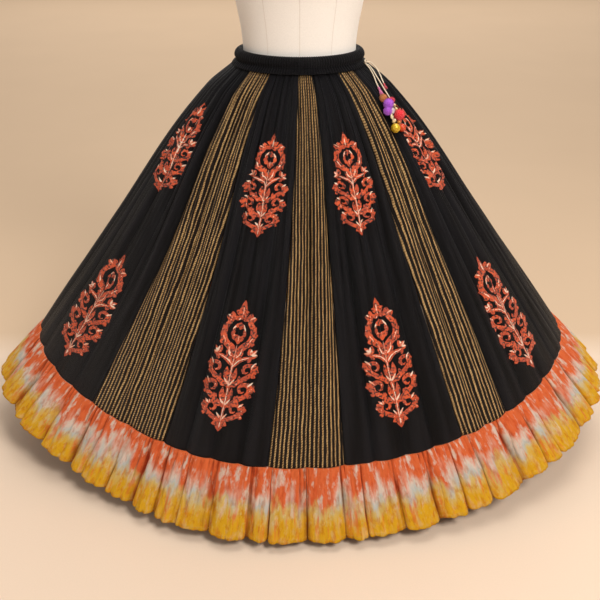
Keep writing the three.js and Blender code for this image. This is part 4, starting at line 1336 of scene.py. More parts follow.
def stitch_tree(material):
    """Small stitches laid end to end along a line"""
    tree, entry, leave = new_geometry_tree(
        f"Stitches in {material.name}",
        [
            ("Spacing", "NodeSocketFloat"),
            ("Length", "NodeSocketFloat"),
            ("Thickness", "NodeSocketFloat"),
        ],
    )
    line = add_node(tree, "GeometryNodeMeshToCurve", {0: entry.outputs["Geometry"]})
    spaced = {0: line.outputs[0], "Length": entry.outputs["Spacing"]}
    evenly = add_node(tree, "GeometryNodeResampleCurve", spaced, mode="LENGTH")
    tangent = add_node(tree, "GeometryNodeInputTangent").outputs[0]
    heading = add_node(tree, "FunctionNodeAlignRotationToVector", {"Vector": tangent}, axis="Z")
    grain = add_node(tree, "GeometryNodeMeshUVSphere", {"Segments": 5, "Rings": 4, "Radius": 0.5})
    thickness = entry.outputs["Thickness"]
    size = add_node(tree, "ShaderNodeCombineXYZ", {0: thickness, 1: thickness, 2: entry.outputs["Length"]})
    real = lay_along(tree, evenly, grain, heading, size)
    finish = add_node(tree, "GeometryNodeSetMaterial", {"Geometry": real, "Material": material})
    tree.links.new(finish.outputs[0], leave.inputs[0])
    return tree


def stitched_line(name, route, material, spacing, length, thickness):
    mesh = bpy.data.meshes.new(name)
    count = len(route)
    edges = [(at, (at + 1) % count) for at in range(count)]
    mesh.from_pydata(route.tolist(), edges, [])
    piece = add_object(name, mesh, material)
    modifier = piece.modifiers.new("stitches", "NODES")
    modifier.node_group = stitch_tree(material)
    for label, value in (("Spacing", spacing), ("Length", length), ("Thickness", thickness)):
        node_input(modifier, label, value)
    return bake_modifier(piece, name)


def wool_tree():
    """Short fibres standing out of a ball, in all lengths and leans"""
    tree, entry, leave = new_geometry_tree(
        "Wool fibres",
        [
            ("Density", "NodeSocketFloat"),
            ("Seed", "NodeSocketInt"),
            ("Fibre length", "NodeSocketFloat"),
            ("Fibre width", "NodeSocketFloat"),
            ("Wool", "NodeSocketMaterial"),
        ],
    )
    scattered = {"Mesh": entry.outputs["Geometry"]}
    scattered.update({label: entry.outputs[label] for label in ("Density", "Seed")})
    spread = add_node(tree, "GeometryNodeDistributePointsOnFaces", scattered)
    cone = {"Vertices": 3, "Radius Top": 0.25, "Radius Bottom": 1.0, "Depth": 1.0}
    spike = add_node(tree, "GeometryNodeMeshCone", cone)
    leans = {0: (-0.5, -0.5, 0), 1: (0.5, 0.5, 3)}
    lean = add_node(tree, "FunctionNodeRandomValue", leans, data_type="FLOAT_VECTOR")
    turn = add_node(tree, "FunctionNodeEulerToRotation", {0: lean.outputs[0]})
    turns = {0: spread.outputs["Rotation"], 1: turn.outputs[0]}
    facing = add_node(tree, "FunctionNodeRotateRotation", turns, rotation_space="LOCAL")
    uneven = add_node(tree, "FunctionNodeRandomValue", {2: 0.6, 3: 1.0}, data_type="FLOAT")
    reach = calc(tree, "MULTIPLY", uneven.outputs[1], entry.outputs["Fibre length"])
    width = entry.outputs["Fibre width"]
    size = add_node(tree, "ShaderNodeCombineXYZ", {0: width, 1: width, 2: reach})
    real = lay_along(tree, spread, spike, facing, size)
    both = add_node(tree, "GeometryNodeJoinGeometry")
    tree.links.new(entry.outputs["Geometry"], both.inputs[0])
    tree.links.new(real, both.inputs[0])
    finished = {"Geometry": both.outputs[0], "Material": entry.outputs["Wool"]}
    finish = add_node(tree, "GeometryNodeSetMaterial", finished)
    tree.links.new(finish.outputs[0], leave.inputs[0])
    return tree


# The motif: an upright spray of scrolls and leaves, drawn in shares of its own height


SCROLL_POINTS = 12
SCROLL_END = 0.32


class Sketch:
    """Strokes of a motif. x runs across from its axis, y up from its foot."""

    def __init__(self):
        self.thread = []
        self.highlight = []

    def line(self, points, width, highlight=0.0, both=True):
        self.stroke(points, width, "line", both)
        if highlight:
            self.stroke(points, width * highlight, "line", both, pale=True)

    def leaf(self, foot, degrees, length, width, bend=0.0, pale=False, both=True):
        angle = math.radians(degrees)
        tip = (foot[0] + length * math.cos(angle), foot[1] + length * math.sin(angle))
        side = (-math.sin(angle) * bend * length, math.cos(angle) * bend * length)
        middle = ((foot[0] + tip[0]) / 2 + side[0], (foot[1] + tip[1]) / 2 + side[1])
        self.stroke([foot, middle, tip], width, "leaf", both, pale)

    def leaves(self, foot, group):
        for degrees, length, width in group:
            self.leaf(foot, degrees, length, width)

    def scroll(self, foot, middle, radius, width, entry=-95.0, turn=340.0, highlight=0.0):
        angles = np.radians(np.linspace(entry, entry + turn, SCROLL_POINTS))
        radii = np.linspace(radius, radius * SCROLL_END, SCROLL_POINTS)
        curl = [(middle[0] + r * math.cos(a), middle[1] + r * math.sin(a)) for r, a in zip(radii, angles)]
        self.line([foot, *curl], width, highlight)

    def stroke(self, points, width, shape, both, pale=False):
        layer = self.highlight if pale else self.thread
        layer.append((points, width, shape))
        if both:
            layer.append(([(-x, y) for x, y in points], width, shape))


# Leaf groups: degrees, length and width of each leaf
LOBES = ((-50, 0.042, 0.036), (-2, 0.05, 0.04), (45, 0.046, 0.036), (92, 0.036, 0.03))
KNOB = ((-35, 0.044, 0.04), (20, 0.054, 0.044), (80, 0.056, 0.042))
STAR = ((-12, 0.052, 0.032), (42, 0.064, 0.036), (98, 0.062, 0.034))

# Scrolls at the sides: foot on the stem, middle across and up, radius, width of the line
SIDE_SCROLLS = (
    (0.08, 0.092, 0.19, 0.056, 0.036),
    (0.19, 0.124, 0.345, 0.056, 0.036),
    (0.345, 0.122, 0.492, 0.052, 0.034),
)


def draw_motif():
    sketch = Sketch()
    sketch.line([(0, 0.08), (0.004, 0.25), (-0.003, 0.45), (0, 0.66)], 0.03, 0.35, both=False)
    # Foot: a bud that points down between two leaves
    sketch.leaf((0, 0.12), -90, 0.12, 0.074, both=False)
    sketch.leaf((0.0, 0.1), -32, 0.075, 0.05, bend=-0.1)
    sketch.leaf((0, 0.075), -90, 0.045, 0.02, pale=True, both=False)
    for order, (foot, x, y, radius, width) in enumerate(SIDE_SCROLLS):
        sketch.scroll((0, foot), (x, y), radius, width, entry=-78, turn=400)
        sketch.leaves((x + radius * 0.85, y), LOBES)
        sketch.leaf((x + radius * 0.5, y + radius * 0.4), 40, 0.046, 0.016, pale=True)
        sketch.leaf((0.004, foot + 0.012), 56, 0.07, 0.012, pale=True)
        sketch.leaf((x - radius * 0.1, y + radius * 1.1), 78, 0.052, 0.032)
        sketch.leaf((x + radius * 0.75, y - radius * 0.85), -20, 0.036, 0.03)
        # Leaves between the scroll and the stem
        if order:
            sketch.leaf((0.004, foot + 0.04), 74, 0.12, 0.038, bend=-0.12)
            sketch.leaf((0.02, foot + 0.01), 40, 0.075, 0.03, bend=-0.1)
            sketch.leaf((x - radius * 0.55, y - radius * 1.75), 112, 0.05, 0.026, bend=0.1)
    # Starry tips beside the neck
    sketch.line([(0, 0.5), (0.05, 0.56), (0.12, 0.59)], 0.034, 0.35)
    sketch.leaves((0.118, 0.598), STAR)
    for degrees in (-12, 42, 98):
        sketch.leaf((0.13, 0.606), degrees, 0.046, 0.017, pale=True)
    # Long leaves that open under the lantern
    sketch.leaf((0, 0.555), 66, 0.13, 0.046, bend=-0.14)
    sketch.leaf((0.004, 0.56), 64, 0.11, 0.014, bend=-0.14, pale=True)
    # Lantern of two arcs round a heart-shaped bud
    lantern = [(0.004, 0.6), (0.05, 0.655), (0.098, 0.7), (0.112, 0.755), (0.098, 0.812), (0.05, 0.862)]
    sketch.line(lantern, 0.05)
    for place, turn in (((0.118, 0.7), -10), ((0.13, 0.75), 20), ((0.118, 0.8), 42)):
        sketch.leaf((place[0] - 0.02, place[1] - 0.01), turn, 0.038, 0.036)
    sketch.leaf((0.086, 0.685), 62, 0.06, 0.014, pale=True)
    sketch.leaf((0, 0.668), 90, 0.07, 0.044, both=False)
    sketch.leaf((0, 0.7), 48, 0.056, 0.038, bend=-0.12)
    sketch.leaf((0.002, 0.69), 90, 0.045, 0.012, pale=True, both=False)
    # Small leaves that fill it
    fillers = (((0.026, 0.7), 70, 0.06), ((0.048, 0.735), 98, 0.06), ((0.03, 0.79), 128, 0.05))
    for place, turn, length in fillers:
        sketch.leaf(place, turn, length, 0.026)
    sketch.leaf((0, 0.775), 90, 0.06, 0.026, both=False)
    sketch.leaf((0.05, 0.78), 120, 0.05, 0.012, pale=True)
    # Knobs on its shoulders and the bud on top
    sketch.leaves((0.064, 0.862), KNOB)
    sketch.leaf((0.07, 0.87), 30, 0.04, 0.014, pale=True)
    sketch.leaf((0, 0.85), 90, 0.15, 0.062, both=False)
    sketch.leaf((0, 0.88), 42, 0.068, 0.042, bend=0.08)
    sketch.leaf((0, 0.86), 10, 0.07, 0.036)
    sketch.leaf((0, 0.875), 90, 0.075, 0.02, pale=True, both=False)
    return sketch


STROKE_STEPS = {"line": 22, "leaf": 8}
STROKE_LEAST = 0.0006
STROKE_SECTION = (0.35, 1.0, 0.35)
# Strokes lie in seven levels, so that crossing ones don't share a surface
STROKE_LEVELS = 7
STROKE_LEVEL_STEP = 0.00004
TIPS_RAISED = 1.5


def stroke_grid(points, width, shape):
    """A stroke as rows of three points: left edge, middle and right edge"""
    flat = [(x, y, 0) for x, y in points]
    line = smooth_route(flat, STROKE_STEPS[shape])[:, :2]
    ahead = np.gradient(line, axis=0)
    ahead /= np.linalg.norm(ahead, axis=1, keepdims=True)
    side = np.stack([-ahead[:, 1], ahead[:, 0]], axis=-1)
    share = np.linspace(0, 1, len(line))
    # A leaf is widest a little before its middle. So is a line, and it ends in a short taper.
    if shape == "leaf":
        reach = np.sin(math.pi * share**0.8) ** 0.8
    else:
        reach = np.minimum(1, 8 * (1.02 - share)) * (0.55 + 0.45 * np.sin(math.pi * share**0.7))
    half = (width / 2 * reach + STROKE_LEAST)[:, None]
    return np.stack([line - side * half, line, line + side * half], axis=1)


def motif_piece(name, gore, spot, strokes, raised, material):
    """Lays the strokes on a gore, over its folds and pleats, with a rounded ridge along each"""
    top_across, top, foot_across, foot = spot
    height = (foot - top) * BODY_LENGTH
    points, faces, coordinates = [], [], []
    for order, (path, width, shape) in enumerate(strokes):
        grid = stroke_grid(path, width, shape)
        share = foot - grid[..., 1] * (foot - top)
        panel = blend(gore.width(0), gore.width(1), share)
        axis = blend(foot_across, top_across, grid[..., 1])
        place = axis + grid[..., 0] * height * MOTIF_STRETCH / panel
        tuft = np.array(STROKE_SECTION) * raised + (order % STROKE_LEVELS) * STROKE_LEVEL_STEP
        laid = gore.surface(place, share, tuft + 0 * share)
        first = len(points)
        points.extend(laid.reshape(-1, 3).tolist())
        coordinates.extend((grid.reshape(-1, 2) * height).tolist())
        for row in range(len(grid) - 1):
            for column in range(2):
                at = first + row * 3 + column
                faces.append((at, at + 3, at + 4, at + 1))
    mesh = bpy.data.meshes.new(name)
    mesh.from_pydata(points, [], faces)
    layer = mesh.uv_layers.new(name="cut")
    corner = [value for face in faces for at in face for value in coordinates[at]]
    layer.data.foreach_set("uv", corner)
    mesh.polygons.foreach_set("use_smooth", [True] * len(faces))
    mesh.update()
    piece = add_object(name, mesh, material)
    outward = sum(polygon.normal.dot(polygon.center) for polygon in mesh.polygons)
    if outward < 0:
        mesh.flip_normals()
    return piece


# Operators


# Lamps: name, place, size of its square, power in watts
LAMPS = (
    ("key", (1.5, -2.4, 3.2), 1.0, 97),
    ("fill", (-2.2, -2.6, 2.2), 2.4, 14),
    ("top", (0.4, -0.2, 3.7), 1.8, 40),
    ("backdrop", (0.0, 5.2, 4.0), 8.0, 255),
)
LAMP_AIM = (0, 0, 0.6)
LAMP_COLOR = (1.0, 0.965, 0.92)
GLOW_COLOR = (1.0, 0.94, 0.87, 1)
SENSOR_WIDTH = 36


class LEHENGA_OT_stage(bpy.types.Operator):
    """Floor, light and the camera at the photograph's viewing angle"""

    bl_idname = "lehenga.stage"
    bl_label = "Stage"

    def execute(self, context):
        settings = context.scene.lehenga_stage
        camera = bpy.data.objects.new("camera", bpy.data.cameras.new("camera"))
        context.scene.collection.objects.link(camera)
        camera.location = CAMERA_PLACE
        camera.rotation_euler = (math.pi / 2 - CAMERA_PITCH, 0, 0)
        camera.data.lens = settings.lens
        camera.data.sensor_width = SENSOR_WIDTH
        camera.data.shift_x = CAMERA_SHIFT
        context.scene.camera = camera

        mesh = bpy.data.meshes.new("floor")
        corners = [(x * FLOOR_REACH, y * FLOOR_REACH, 0) for x, y in ((-1, -1), (1, -1), (1, 1), (-1, 1))]
        mesh.from_pydata(corners, [], [(0, 1, 2, 3)])
        add_object("floor", mesh, studio_floor())

        world = bpy.data.worlds.new("studio")
        context.scene.world = world
        world.use_nodes = True
        glow = world.node_tree.nodes["Background"]
        glow.inputs["Color"].default_value = GLOW_COLOR
        glow.inputs["Strength"].default_value = settings.glow
        for name, place, size, power in LAMPS:
            lamp = bpy.data.lights.new(name, "AREA")
            lamp.size = size
            lamp.energy = power * settings.light
            lamp.color = LAMP_COLOR
            holder = bpy.data.objects.new(name, lamp)
            context.scene.collection.objects.link(holder)
            holder.location = place
            aim = Vector(LAMP_AIM) - Vector(place)
            holder.rotation_euler = aim.to_track_quat("-Z", "Y").to_euler()
        context.scene.view_settings.view_transform = "Standard"
        return {"FINISHED"}


class LEHENGA_OT_drawstring(bpy.types.Operator):
    """Twisted cotton cord: the knot at the casing and its three free ends"""

    bl_idname = "lehenga.drawstring"
    bl_label = "Drawstring"

    def execute(self, context):
        cotton = cord_cotton()
        for name, points in CORD_ROUTES.items():
            metres = np.array(points) * MILLIMETRE
            length = along(smooth_route(metres, CORD_MEASURE_POINTS))[-1]
            fine = smooth_route(metres, max(CORD_LEAST_POINTS, int(length / CORD_STEP)))
            twisted = {"plies": CORD_PLIES, "pitch": CORD_PITCH}
            cord = tube_piece(f"cord_{name}", fine, CORD_DIAMETER / 2, CORD_SIDES, cotton, **twisted)
            settle(cord, "cord_cotton", f"drawstring_{name}")
        waist = FORM_ROWS[FORM_WAIST_ROW]
        direction = float(direction_of(KNOT["girth"]))
        width, depth = waist[1] * MILLIMETRE + KNOT["out"], waist[2] * MILLIMETRE + KNOT["out"]
        radius = ellipse_radius(width, depth, direction)
        middle = Vector(points_on(np.array(radius), direction, BODY_TOP_HEIGHT + KNOT["up"]))
        outward = Vector((math.sin(direction), -math.cos(direction), 0))
        turn = Vector((0, 0, 1)).rotation_difference(outward)
        route = []
        for angle in np.linspace(0, 4 * math.pi, KNOT_POINTS, endpoint=False):
            swell = 2 + math.cos(KNOT_LOBES * angle)
            loop = Vector((swell * math.cos(angle), swell * math.sin(angle), math.sin(KNOT_LOBES * angle)))
            route.append(middle + turn @ (loop * KNOT["radius"] / 2))
        twisted = {"closed": True, "plies": CORD_PLIES, "pitch": KNOT_PITCH}
        knot = tube_piece("cord_knot", route, KNOT["strand"], KNOT_SIDES, cotton, **twisted)
        settle(knot, "cord_cotton", "drawstring_knot")
        return {"FINISHED"}


class LEHENGA_OT_gores(bpy.types.Operator):
    """Black and striped gores, gathered into the band and pleated down their length"""

    bl_idname = "lehenga.gores"
    bl_label = "Gores"

    def execute(self, context):
        settings = context.scene.lehenga_cloth
        plain, striped = black_cotton(), striped_cotton()
        down = np.linspace(0, 1, GORE_ROWS) ** GORE_ROW_CROWDING
        for gore in make_gores():
            is_black = gore.name.startswith("black")
            columns = gore.folds * (COLUMNS_IN_BLACK_FOLD if is_black else COLUMNS_IN_STRIPE_FOLD)
            gap = SEAM_GAP / 2 / gore.width(0.5)
            across, share = np.meshgrid(np.linspace(gap, 1 - gap, columns + 1), down)
            points = gore.surface(across, share)
            points[0, :, 2] += SEAM_GAP
            points[-1, :, 2] += SEAM_GAP / 2
            full_width = gore.width(1)
            ease = eased(share, EASE_SHARES, BLACK_EASE if is_black else STRIPE_EASE)
            cut_width = blend(gore.width(0), full_width, share) * ease
            uv = np.stack([(across - 0.5) * cut_width, share * BODY_LENGTH], axis=-1)
            material = plain if is_black else striped
            # The ridge lets the black cotton paint sheen on the pleats' crests; the striped cotton doesn't
            # use it
            panel = grid_piece(f"panel_{gore.name}", points, uv, material, ridge=gore.ridge(across, share))
            give_wall(panel, settings.thickness)
            settle(panel, "black_cotton" if is_black else "striped_cotton", gore.name)
            top_cut, seam_cut = gore.width(0) * BAND_CUT_EASE, full_width * SEAM_CUT_EASE
        return {"FINISHED"}


class LEHENGA_OT_motifs(bpy.types.Operator):
    """Leaf motifs on the black gores, a small one above a large one"""

    bl_idname = "lehenga.motifs"
    bl_label = "Motifs"

    def execute(self, context):
        settings = context.scene.lehenga_motif
        thread, highlight = motif_thread(), highlight_thread()
        sketch = draw_motif()
        for gore in make_gores():
            for size, spot in zip(("upper", "lower"), gore.motifs):
                name = f"motif_{size}_{gore.name[-2:]}"
                work = motif_piece(name, gore, spot, sketch.thread, settings.height, thread)
                raised = settings.height * TIPS_RAISED
                tips = motif_piece(f"{name}_tips", gore, spot, sketch.highlight, raised, highlight)
                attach(work, "root")
                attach(tips, "root")
        return {"FINISHED"}


class LEHENGA_OT_frill(bpy.types.Operator):
    """Tie-dyed frill in eight strips, gathered on to the body"""

    bl_idname = "lehenga.frill"
    bl_label = "Frill"

    def execute(self, context):
        settings = context.scene.lehenga_cloth
        cotton = frill_cotton()
        gores = make_gores()
        even = np.arange(COLUMNS_IN_FRILL_FOLD) / COLUMNS_IN_FRILL_FOLD
        fold_columns = blend(even, (1 - np.cos(math.pi * even)) / 2, 0.5)
        strip_columns = np.concatenate([number + fold_columns for number in range(FOLDS_IN_FRILL_STRIP)])
        strip_columns = np.append(strip_columns, FOLDS_IN_FRILL_STRIP)
        down = np.linspace(0, 1, FRILL_ROWS)
        for strip in range(FRILL_STRIPS):
            place = strip * FOLDS_IN_FRILL_STRIP + strip_columns
            lift = body_edge_lift(gores, frill_girth(place))
            columns, share = np.meshgrid(place, down)
            points, ridge = frill_point(columns, share, lift[None, :])
            points[0, :, 2] -= SEAM_GAP / 2
            run = along(points[len(down) // 2])
            full = run * FRILL_DYE_STRETCH + strip * FRILL_DYE_SHIFT
            uv = np.stack(np.meshgrid(full, down * FRILL_LENGTH), axis=-1)
            # The ridge paints shade into the frill's creases
            piece = grid_piece(f"frill_panel_{strip + 1:02d}", points, uv, cotton, ridge=ridge)
            give_wall(piece, settings.thickness)
            settle(piece, "frill_cotton", f"frill_strip_{strip + 1:02d}")
        return {"FINISHED"}


def gores_met(gores, girth):
    """Girths counted on from the first gore, and the gores that they meet at the seam, with which ones"""
    first = gores[0].start[1]
    wrapped = first + np.mod(girth - first, FULL_TURN)
    met = [(gore, (wrapped >= gore.start[1]) & (wrapped < gore.end[1])) for gore in gores]
    return wrapped, [(gore, inside) for gore, inside in met if inside.any()]


def body_edge_lift(gores, girth):
    """How far the body's lower edge stands off its mean line at each girth"""
    wrapped, met = gores_met(gores, girth)
    lift = np.zeros_like(wrapped)
    for gore, inside in met:
        across = (wrapped[inside] - gore.start[1]) / (gore.end[1] - gore.start[1])
        edge = gore.surface(across, np.ones_like(across))
        plain = body_point(wrapped[inside], np.ones_like(across), 0.0)
        lift[inside] = np.hypot(edge[:, 0], edge[:, 1]) - np.hypot(plain[:, 0], plain[:, 1])
    return lift


class LEHENGA_OT_waistband(bpy.types.Operator):
    """Ribbed elastic casing over a narrow gathered strip"""

    bl_idname = "lehenga.waistband"
    bl_label = "Waistband"

    def execute(self, context):
        corners = np.array(BAND_SECTION + BAND_SECTION[:1], float)
        section = smooth_route(corners, BAND_SECTION_POINTS)[:-1]
        count = BAND_RIBS * COLUMNS_IN_RIB
        direction = np.arange(count) * 2 * math.pi / count
        crowding = RIB_CROWDING[1] * np.sin(RIB_CROWDING[0] * direction)
        arch = np.abs(np.sin(BAND_RIBS * direction / 2 + crowding)) ** RIB_ROUNDNESS
        rib = RIB_DEPTH * (2 * arch - 1)
        rows = []
        ridge = []
        for out, up, gather in section:
            off = np.clip(out + gather * rib, BAND_CLEARANCE, None)
            # Painted sheen on the ribs' crests and painted shade between them, through the ridge attribute
            ridge.append(RIB_PAINTED_SHEEN[0] + gather * rib / RIB_PAINTED_SHEEN[1])
            ripple = BAND_RIPPLE * rib * np.clip((up - BAND_RIPPLE_START) / BAND_RIPPLE_RUN, 0, 1)
            height = BODY_TOP_HEIGHT + (max(up, 0.0) + ripple) * MILLIMETRE
            rows.append(points_on(waist_radius(off, direction), direction, height))
        uv = np.stack(np.meshgrid(direction * BAND_RADIUS, along(section) * MILLIMETRE), axis=-1)
        cotton = black_cotton()
        band = grid_piece("band_casing", np.array(rows), uv, cotton, True, True, np.array(ridge))
        close_ends(band)
        settle(band, "black_cotton", "waistband")
        return {"FINISHED"}


class LEHENGA_OT_stitches(bpy.types.Operator):
    """Rows of stitches: on the casing and along the frill's hem"""

    bl_idname = "lehenga.stitches"
    bl_label = "Stitches"

    def execute(self, context):
        black = stitch_thread("black stitches", "26252a")
        amber = stitch_thread("amber stitches", "f4cf74")
        row = CASING_STITCHES
        direction = np.linspace(0, 2 * math.pi, row["points"], endpoint=False)
        casing = points_on(waist_radius(row["out"], direction), direction, BODY_TOP_HEIGHT + row["up"])
        piece = stitched_line("stitches_casing", casing, black, *row["sizes"])
        settle(piece, "black_cotton")
        row = HEM_STITCHES
        place = np.linspace(0, FRILL_FOLDS, row["points"], endpoint=False)
        lift = body_edge_lift(make_gores(), frill_girth(place))
        hem, _ = frill_point(place, np.full_like(place, row["share"]), lift)
        outward = hem * np.array([1, 1, 0])
        outward /= np.linalg.norm(outward, axis=1, keepdims=True)
        piece = stitched_line("stitches_hem", hem + outward * row["off"], amber, *row["sizes"])
        settle(piece, "frill_cotton")
        return {"FINISHED"}


class LEHENGA_OT_form(bpy.types.Operator):
    """Cloth-covered torso with its seams"""

    bl_idname = "lehenga.form"
    bl_label = "Dress form"

    def execute(self, context):
        rows = np.array(FORM_ROWS, float)
        heights = np.linspace(rows[0, 0], rows[-1, 0], FORM_GRID[0])
        angle = np.arange(FORM_GRID[1]) * 2 * math.pi / FORM_GRID[1]
        rings = []
        for up in heights:
            width, depth, back = (eased(np.array([up]), rows[:, 0], rows[:, axis])[0] for axis in (1, 2, 3))
            ring = np.stack([width * np.sin(angle), back - depth * np.cos(angle), up + 0 * angle], axis=-1)
            rings.append(ring * MILLIMETRE)
        degrees = (np.degrees(angle) + FULL_TURN / 2) % FULL_TURN - FULL_TURN / 2
        uv = np.stack(np.meshgrid(degrees, heights * MILLIMETRE), axis=-1)
        torso = grid_piece("form_torso_cover", np.array(rings), uv, form_cloth(), wrap_columns=True)
        close_ends(torso)
        settle(torso, "form_cloth", "form_torso")
        return {"FINISHED"}


class LEHENGA_OT_stand(bpy.types.Operator):
    """Turned neck cap, pole and round base"""

    bl_idname = "lehenga.stand"
    bl_label = "Stand"

    def execute(self, context):
        neck = FORM_ROWS[-1]
        steel = stand_steel()
        middle = (0, neck[3] * MILLIMETRE, neck[0] * MILLIMETRE + FACE_GAP)
        cap = turned_piece("cap_turned", CAP_OUTLINE, CAP_SIDES, cap_wood(), middle)
        settle(cap, "cap_wood", "neck_cap")
        settle(turned_piece("pole_tube", POLE_OUTLINE, POLE_SIDES, steel), "stand_steel", "stand_pole")
        settle(turned_piece("base_plate", BASE_OUTLINE, BASE_SIDES, steel), "stand_steel", "stand_base")
        return {"FINISHED"}


class LEHENGA_OT_wool(bpy.types.Operator):
    """Fluffy wool balls and tassels"""

    bl_idname = "lehenga.wool"
    bl_label = "Wool balls and tassels"

    def execute(self, context):
        settings = context.scene.lehenga_trim
        tree = wool_tree()
        for name, _, size in WOOL_BALLS:
            radius = size * MILLIMETRE / 2
            middle = ball_middle(name, size * MILLIMETRE)
            mesh = bpy.data.meshes.new(name)
            shape = bmesh.new()
            bmesh.ops.create_icosphere(shape, subdivisions=3, radius=radius * WOOL_CORE)
            for corner in shape.verts:
                place = corner.co
                lump = LUMP_SIZE * math.sin(LUMP_WAVES[0] * place.x) * math.cos(LUMP_WAVES[1] * place.z + 1)
                corner.co = place * (1 + lump) + Vector(middle)
            shape.to_mesh(mesh)
            shape.free()
            material = wool(f"wool {name}", WOOL_COLORS[name])
            ball = add_object(f"ball_{name}", mesh, material)
            modifier = ball.modifiers.new("wool", "NODES")
            modifier.node_group = tree
            core_area = 4 * math.pi * (radius * WOOL_CORE) ** 2
            for label, value in (
                ("Density", settings.fibres / core_area),
                ("Seed", settings.seed),
                ("Fibre length", radius * FIBRE_LENGTH),
                ("Fibre width", radius * FIBRE_WIDTH),
                ("Wool", material),
            ):
                node_input(modifier, label, value)
            bake_modifier(ball, f"ball_{name}")
            settle(ball, WOOL_SLOTS[name], name)
        for name, cord, size, length in TASSELS:
            self.tassel(name, cord, size * MILLIMETRE, length * MILLIMETRE)
        return {"FINISHED"}

    def tassel(self, name, cord, size, length):
        """Yarns bound at the head and cut level at the end"""
        route = smooth_route(np.array(CORD_ROUTES[cord]) * MILLIMETRE, ROUTE_POINTS)
        heading = route[-1] - route[-2]
        heading = heading / np.linalg.norm(heading)
        head = route[-1] + heading * FACE_GAP
        side = np.cross(heading, (0, 0, 1))
        side = side / np.linalg.norm(side)
        over = np.cross(heading, side)
        material = wool(f"wool {name}", WOOL_COLORS[name])
        yarns = []
        for yarn in range(YARNS):
            turn = yarn * YARN_TURN
            spread = math.sqrt((yarn + 0.5) / YARNS)
            out = side * math.cos(turn) + over * math.sin(turn)
            reach = out * size / 2
            points = [head + heading * length * at + reach * wide * spread for at, wide in YARN_SHARES]
            route = smooth_route(points, YARN_POINTS)
            yarns.append(tube_piece(f"yarn_{yarn}", route, size * YARN_RADIUS, YARN_SIDES, material))
        bind = []
        for at in range(BINDING["points"]):
            turn = at * BINDING["turn"]
            out = side * math.cos(turn) + over * math.sin(turn)
            middle = head + heading * length * (BINDING["start"] + BINDING["rise"] * at)
            bind.append(middle + out * size * BINDING["reach"])
        yarns.append(tube_piece("binding", bind, size * BINDING["radius"], BINDING["sides"], material))
        settle(join_pieces(f"yarns_{name}", yarns), WOOL_SLOTS[name], name)


class LEHENGA_OT_beads(bpy.types.Operator):
    """Beads, the ring and the threads that carry them"""

    bl_idname = "lehenga.beads"
    bl_label = "Beads and threads"

    def execute(self, context):
        sizes = {name: size for name, _, size in (*WOOL_BALLS, *BEADS, BEAD_RING)}
        middles = {name: ball_middle(name, size * MILLIMETRE) for name, size in sizes.items()}
        for name, above, size in BEADS:
            heading = middles[above] - middles[name]
            self.bead(name, middles[name], heading / np.linalg.norm(heading), size * MILLIMETRE / 2)
        self.ring(middles)
        threads = []
        cotton = cord_cotton()
        for name, above, _ in (*WOOL_BALLS, *BEADS, BEAD_RING):
            if above in middles:
                route = np.linspace(middles[name], middles[above], THREAD_POINTS)
                threads.append(tube_piece(f"thread_{name}", route, THREAD_RADIUS, THREAD_SIDES, cotton))
        settle(join_pieces("bead_threads", threads), "cord_cotton")
        return {"FINISHED"}

    @staticmethod
    def bead(name, middle, heading, radius):
        """A polished ball with a countersunk hole at each end of its thread"""
        side = np.cross(heading, BEAD_SIDE_HINT)
        side = side / np.linalg.norm(side)
        over = np.cross(heading, side)
        rows = []
        angle = np.arange(BEAD_SIDES) * 2 * math.pi / BEAD_SIDES
        outward = np.cos(angle)[:, None] * side + np.sin(angle)[:, None] * over
        for polar in np.linspace(0.0, math.pi, BEAD_ROWS):
            level = radius * math.cos(polar)
            reach = radius * math.sin(polar)
            hole = BEAD_HOLE * radius
            if reach < hole:
                reach = hole * BEAD_HOLE_INNER
                level = math.copysign(radius * BEAD_HOLE_LEVEL, level)
            if name == "bead_shell":
                depth, width = SHELL_GROOVE
                reach = reach * (1 - depth * np.exp(-(((angle - math.pi) / width) ** 2)))
            rows.append(middle + heading * level + outward * np.reshape(reach, (-1, 1)))
        uv = np.stack(np.meshgrid(angle, np.arange(len(rows))), axis=-1) * radius
        finish = bead_finish(name, BEAD_COLORS[name])
        bead = close_ends(grid_piece(f"polished_{name}", np.array(rows), uv, finish, wrap_columns=True))
        settle(bead, BEAD_SLOTS.get(name, "cream_bead"), name)

    @staticmethod
    def ring(middles):
        name, _, size = BEAD_RING
        middle = middles[name]
        direction = math.atan2(middle[0], -middle[1])
        outward = Vector((math.sin(direction), -math.cos(direction), RING["tilt"])).normalized()
        turn = Vector((0, 0, 1)).rotation_difference(outward)
        radius = size * MILLIMETRE / 2
        line = radius * RING["line"]
        route = [
            Vector(middle) + turn @ Vector((line * math.cos(a), line * math.sin(a), 0))
            for a in np.linspace(0, 2 * math.pi, RING["points"], endpoint=False)
        ]
        finish = bead_finish(name, BEAD_COLORS[name])
        wire = radius * RING["wire"]
        ring = tube_piece("polished_bead_ring", route, wire, RING["sides"], finish, closed=True)
        settle(ring, "cream_bead", name)


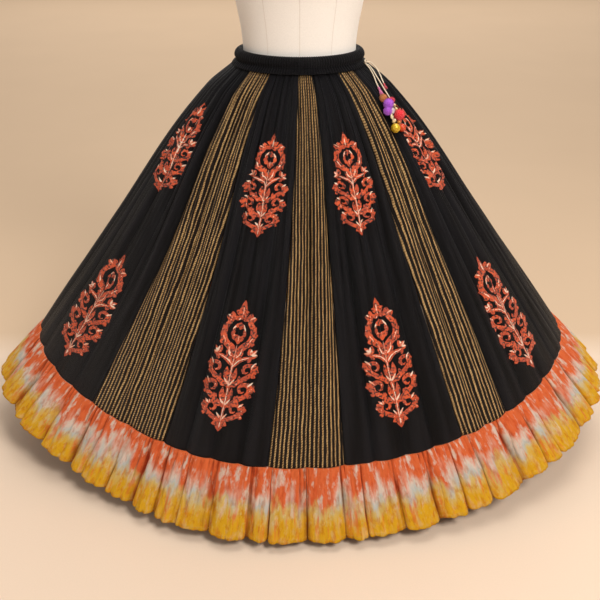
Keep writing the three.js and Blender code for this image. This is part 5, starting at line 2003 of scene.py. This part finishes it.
class LEHENGA_OT_declare_cords(bpy.types.Operator):
    """Works out a smooth route for each cord, and keeps nothing of it"""

    bl_idname = "lehenga.declare_cords"
    bl_label = "Cord facts"

    def execute(self, context):
        for name, points in CORD_ROUTES.items():
            route = smooth_route(np.array(points) * MILLIMETRE, ROUTE_POINTS)
        return {"FINISHED"}


class LEHENGA_PT_sidebar(bpy.types.Panel):
    """Lists the steps that build the skirt"""

    bl_idname = "LEHENGA_PT_sidebar"
    bl_label = "Lehenga skirt"
    bl_space_type = "VIEW_3D"
    bl_region_type = "UI"
    bl_category = "Lehenga"

    def draw(self, context):
        for operator in OPERATORS:
            self.layout.operator(operator.bl_idname)
        for label in SETTINGS:
            box = self.layout.box()
            settings = getattr(context.scene, label)
            for key in settings.__annotations__:
                box.prop(settings, key)


SETTINGS = {
    "lehenga_cloth": LEHENGA_PG_cloth,
    "lehenga_frill": LEHENGA_PG_frill,
    "lehenga_motif": LEHENGA_PG_motif,
    "lehenga_trim": LEHENGA_PG_trim,
    "lehenga_form": LEHENGA_PG_form,
    "lehenga_stage": LEHENGA_PG_stage,
}
OPERATORS = (
    LEHENGA_OT_stage,
    LEHENGA_OT_drawstring,
    LEHENGA_OT_gores,
    LEHENGA_OT_motifs,
    LEHENGA_OT_frill,
    LEHENGA_OT_waistband,
    LEHENGA_OT_stitches,
    LEHENGA_OT_form,
    LEHENGA_OT_stand,
    LEHENGA_OT_wool,
    LEHENGA_OT_beads,
    LEHENGA_OT_declare_cords,
)


def register():
    for kind in (*SETTINGS.values(), *OPERATORS, LEHENGA_PT_sidebar):
        bpy.utils.register_class(kind)
    for label, kind in SETTINGS.items():
        setattr(bpy.types.Scene, label, PointerProperty(type=kind))


def unregister():
    for label in SETTINGS:
        delattr(bpy.types.Scene, label)
    for kind in (LEHENGA_PT_sidebar, *reversed(OPERATORS), *reversed(SETTINGS.values())):
        bpy.utils.unregister_class(kind)


def main():
    register()
    for operator in OPERATORS:
        family, action = operator.bl_idname.split(".")
        getattr(getattr(bpy.ops, family), action)()
    bpy.context.view_layer.update()


if __name__ == "__main__":
    main()
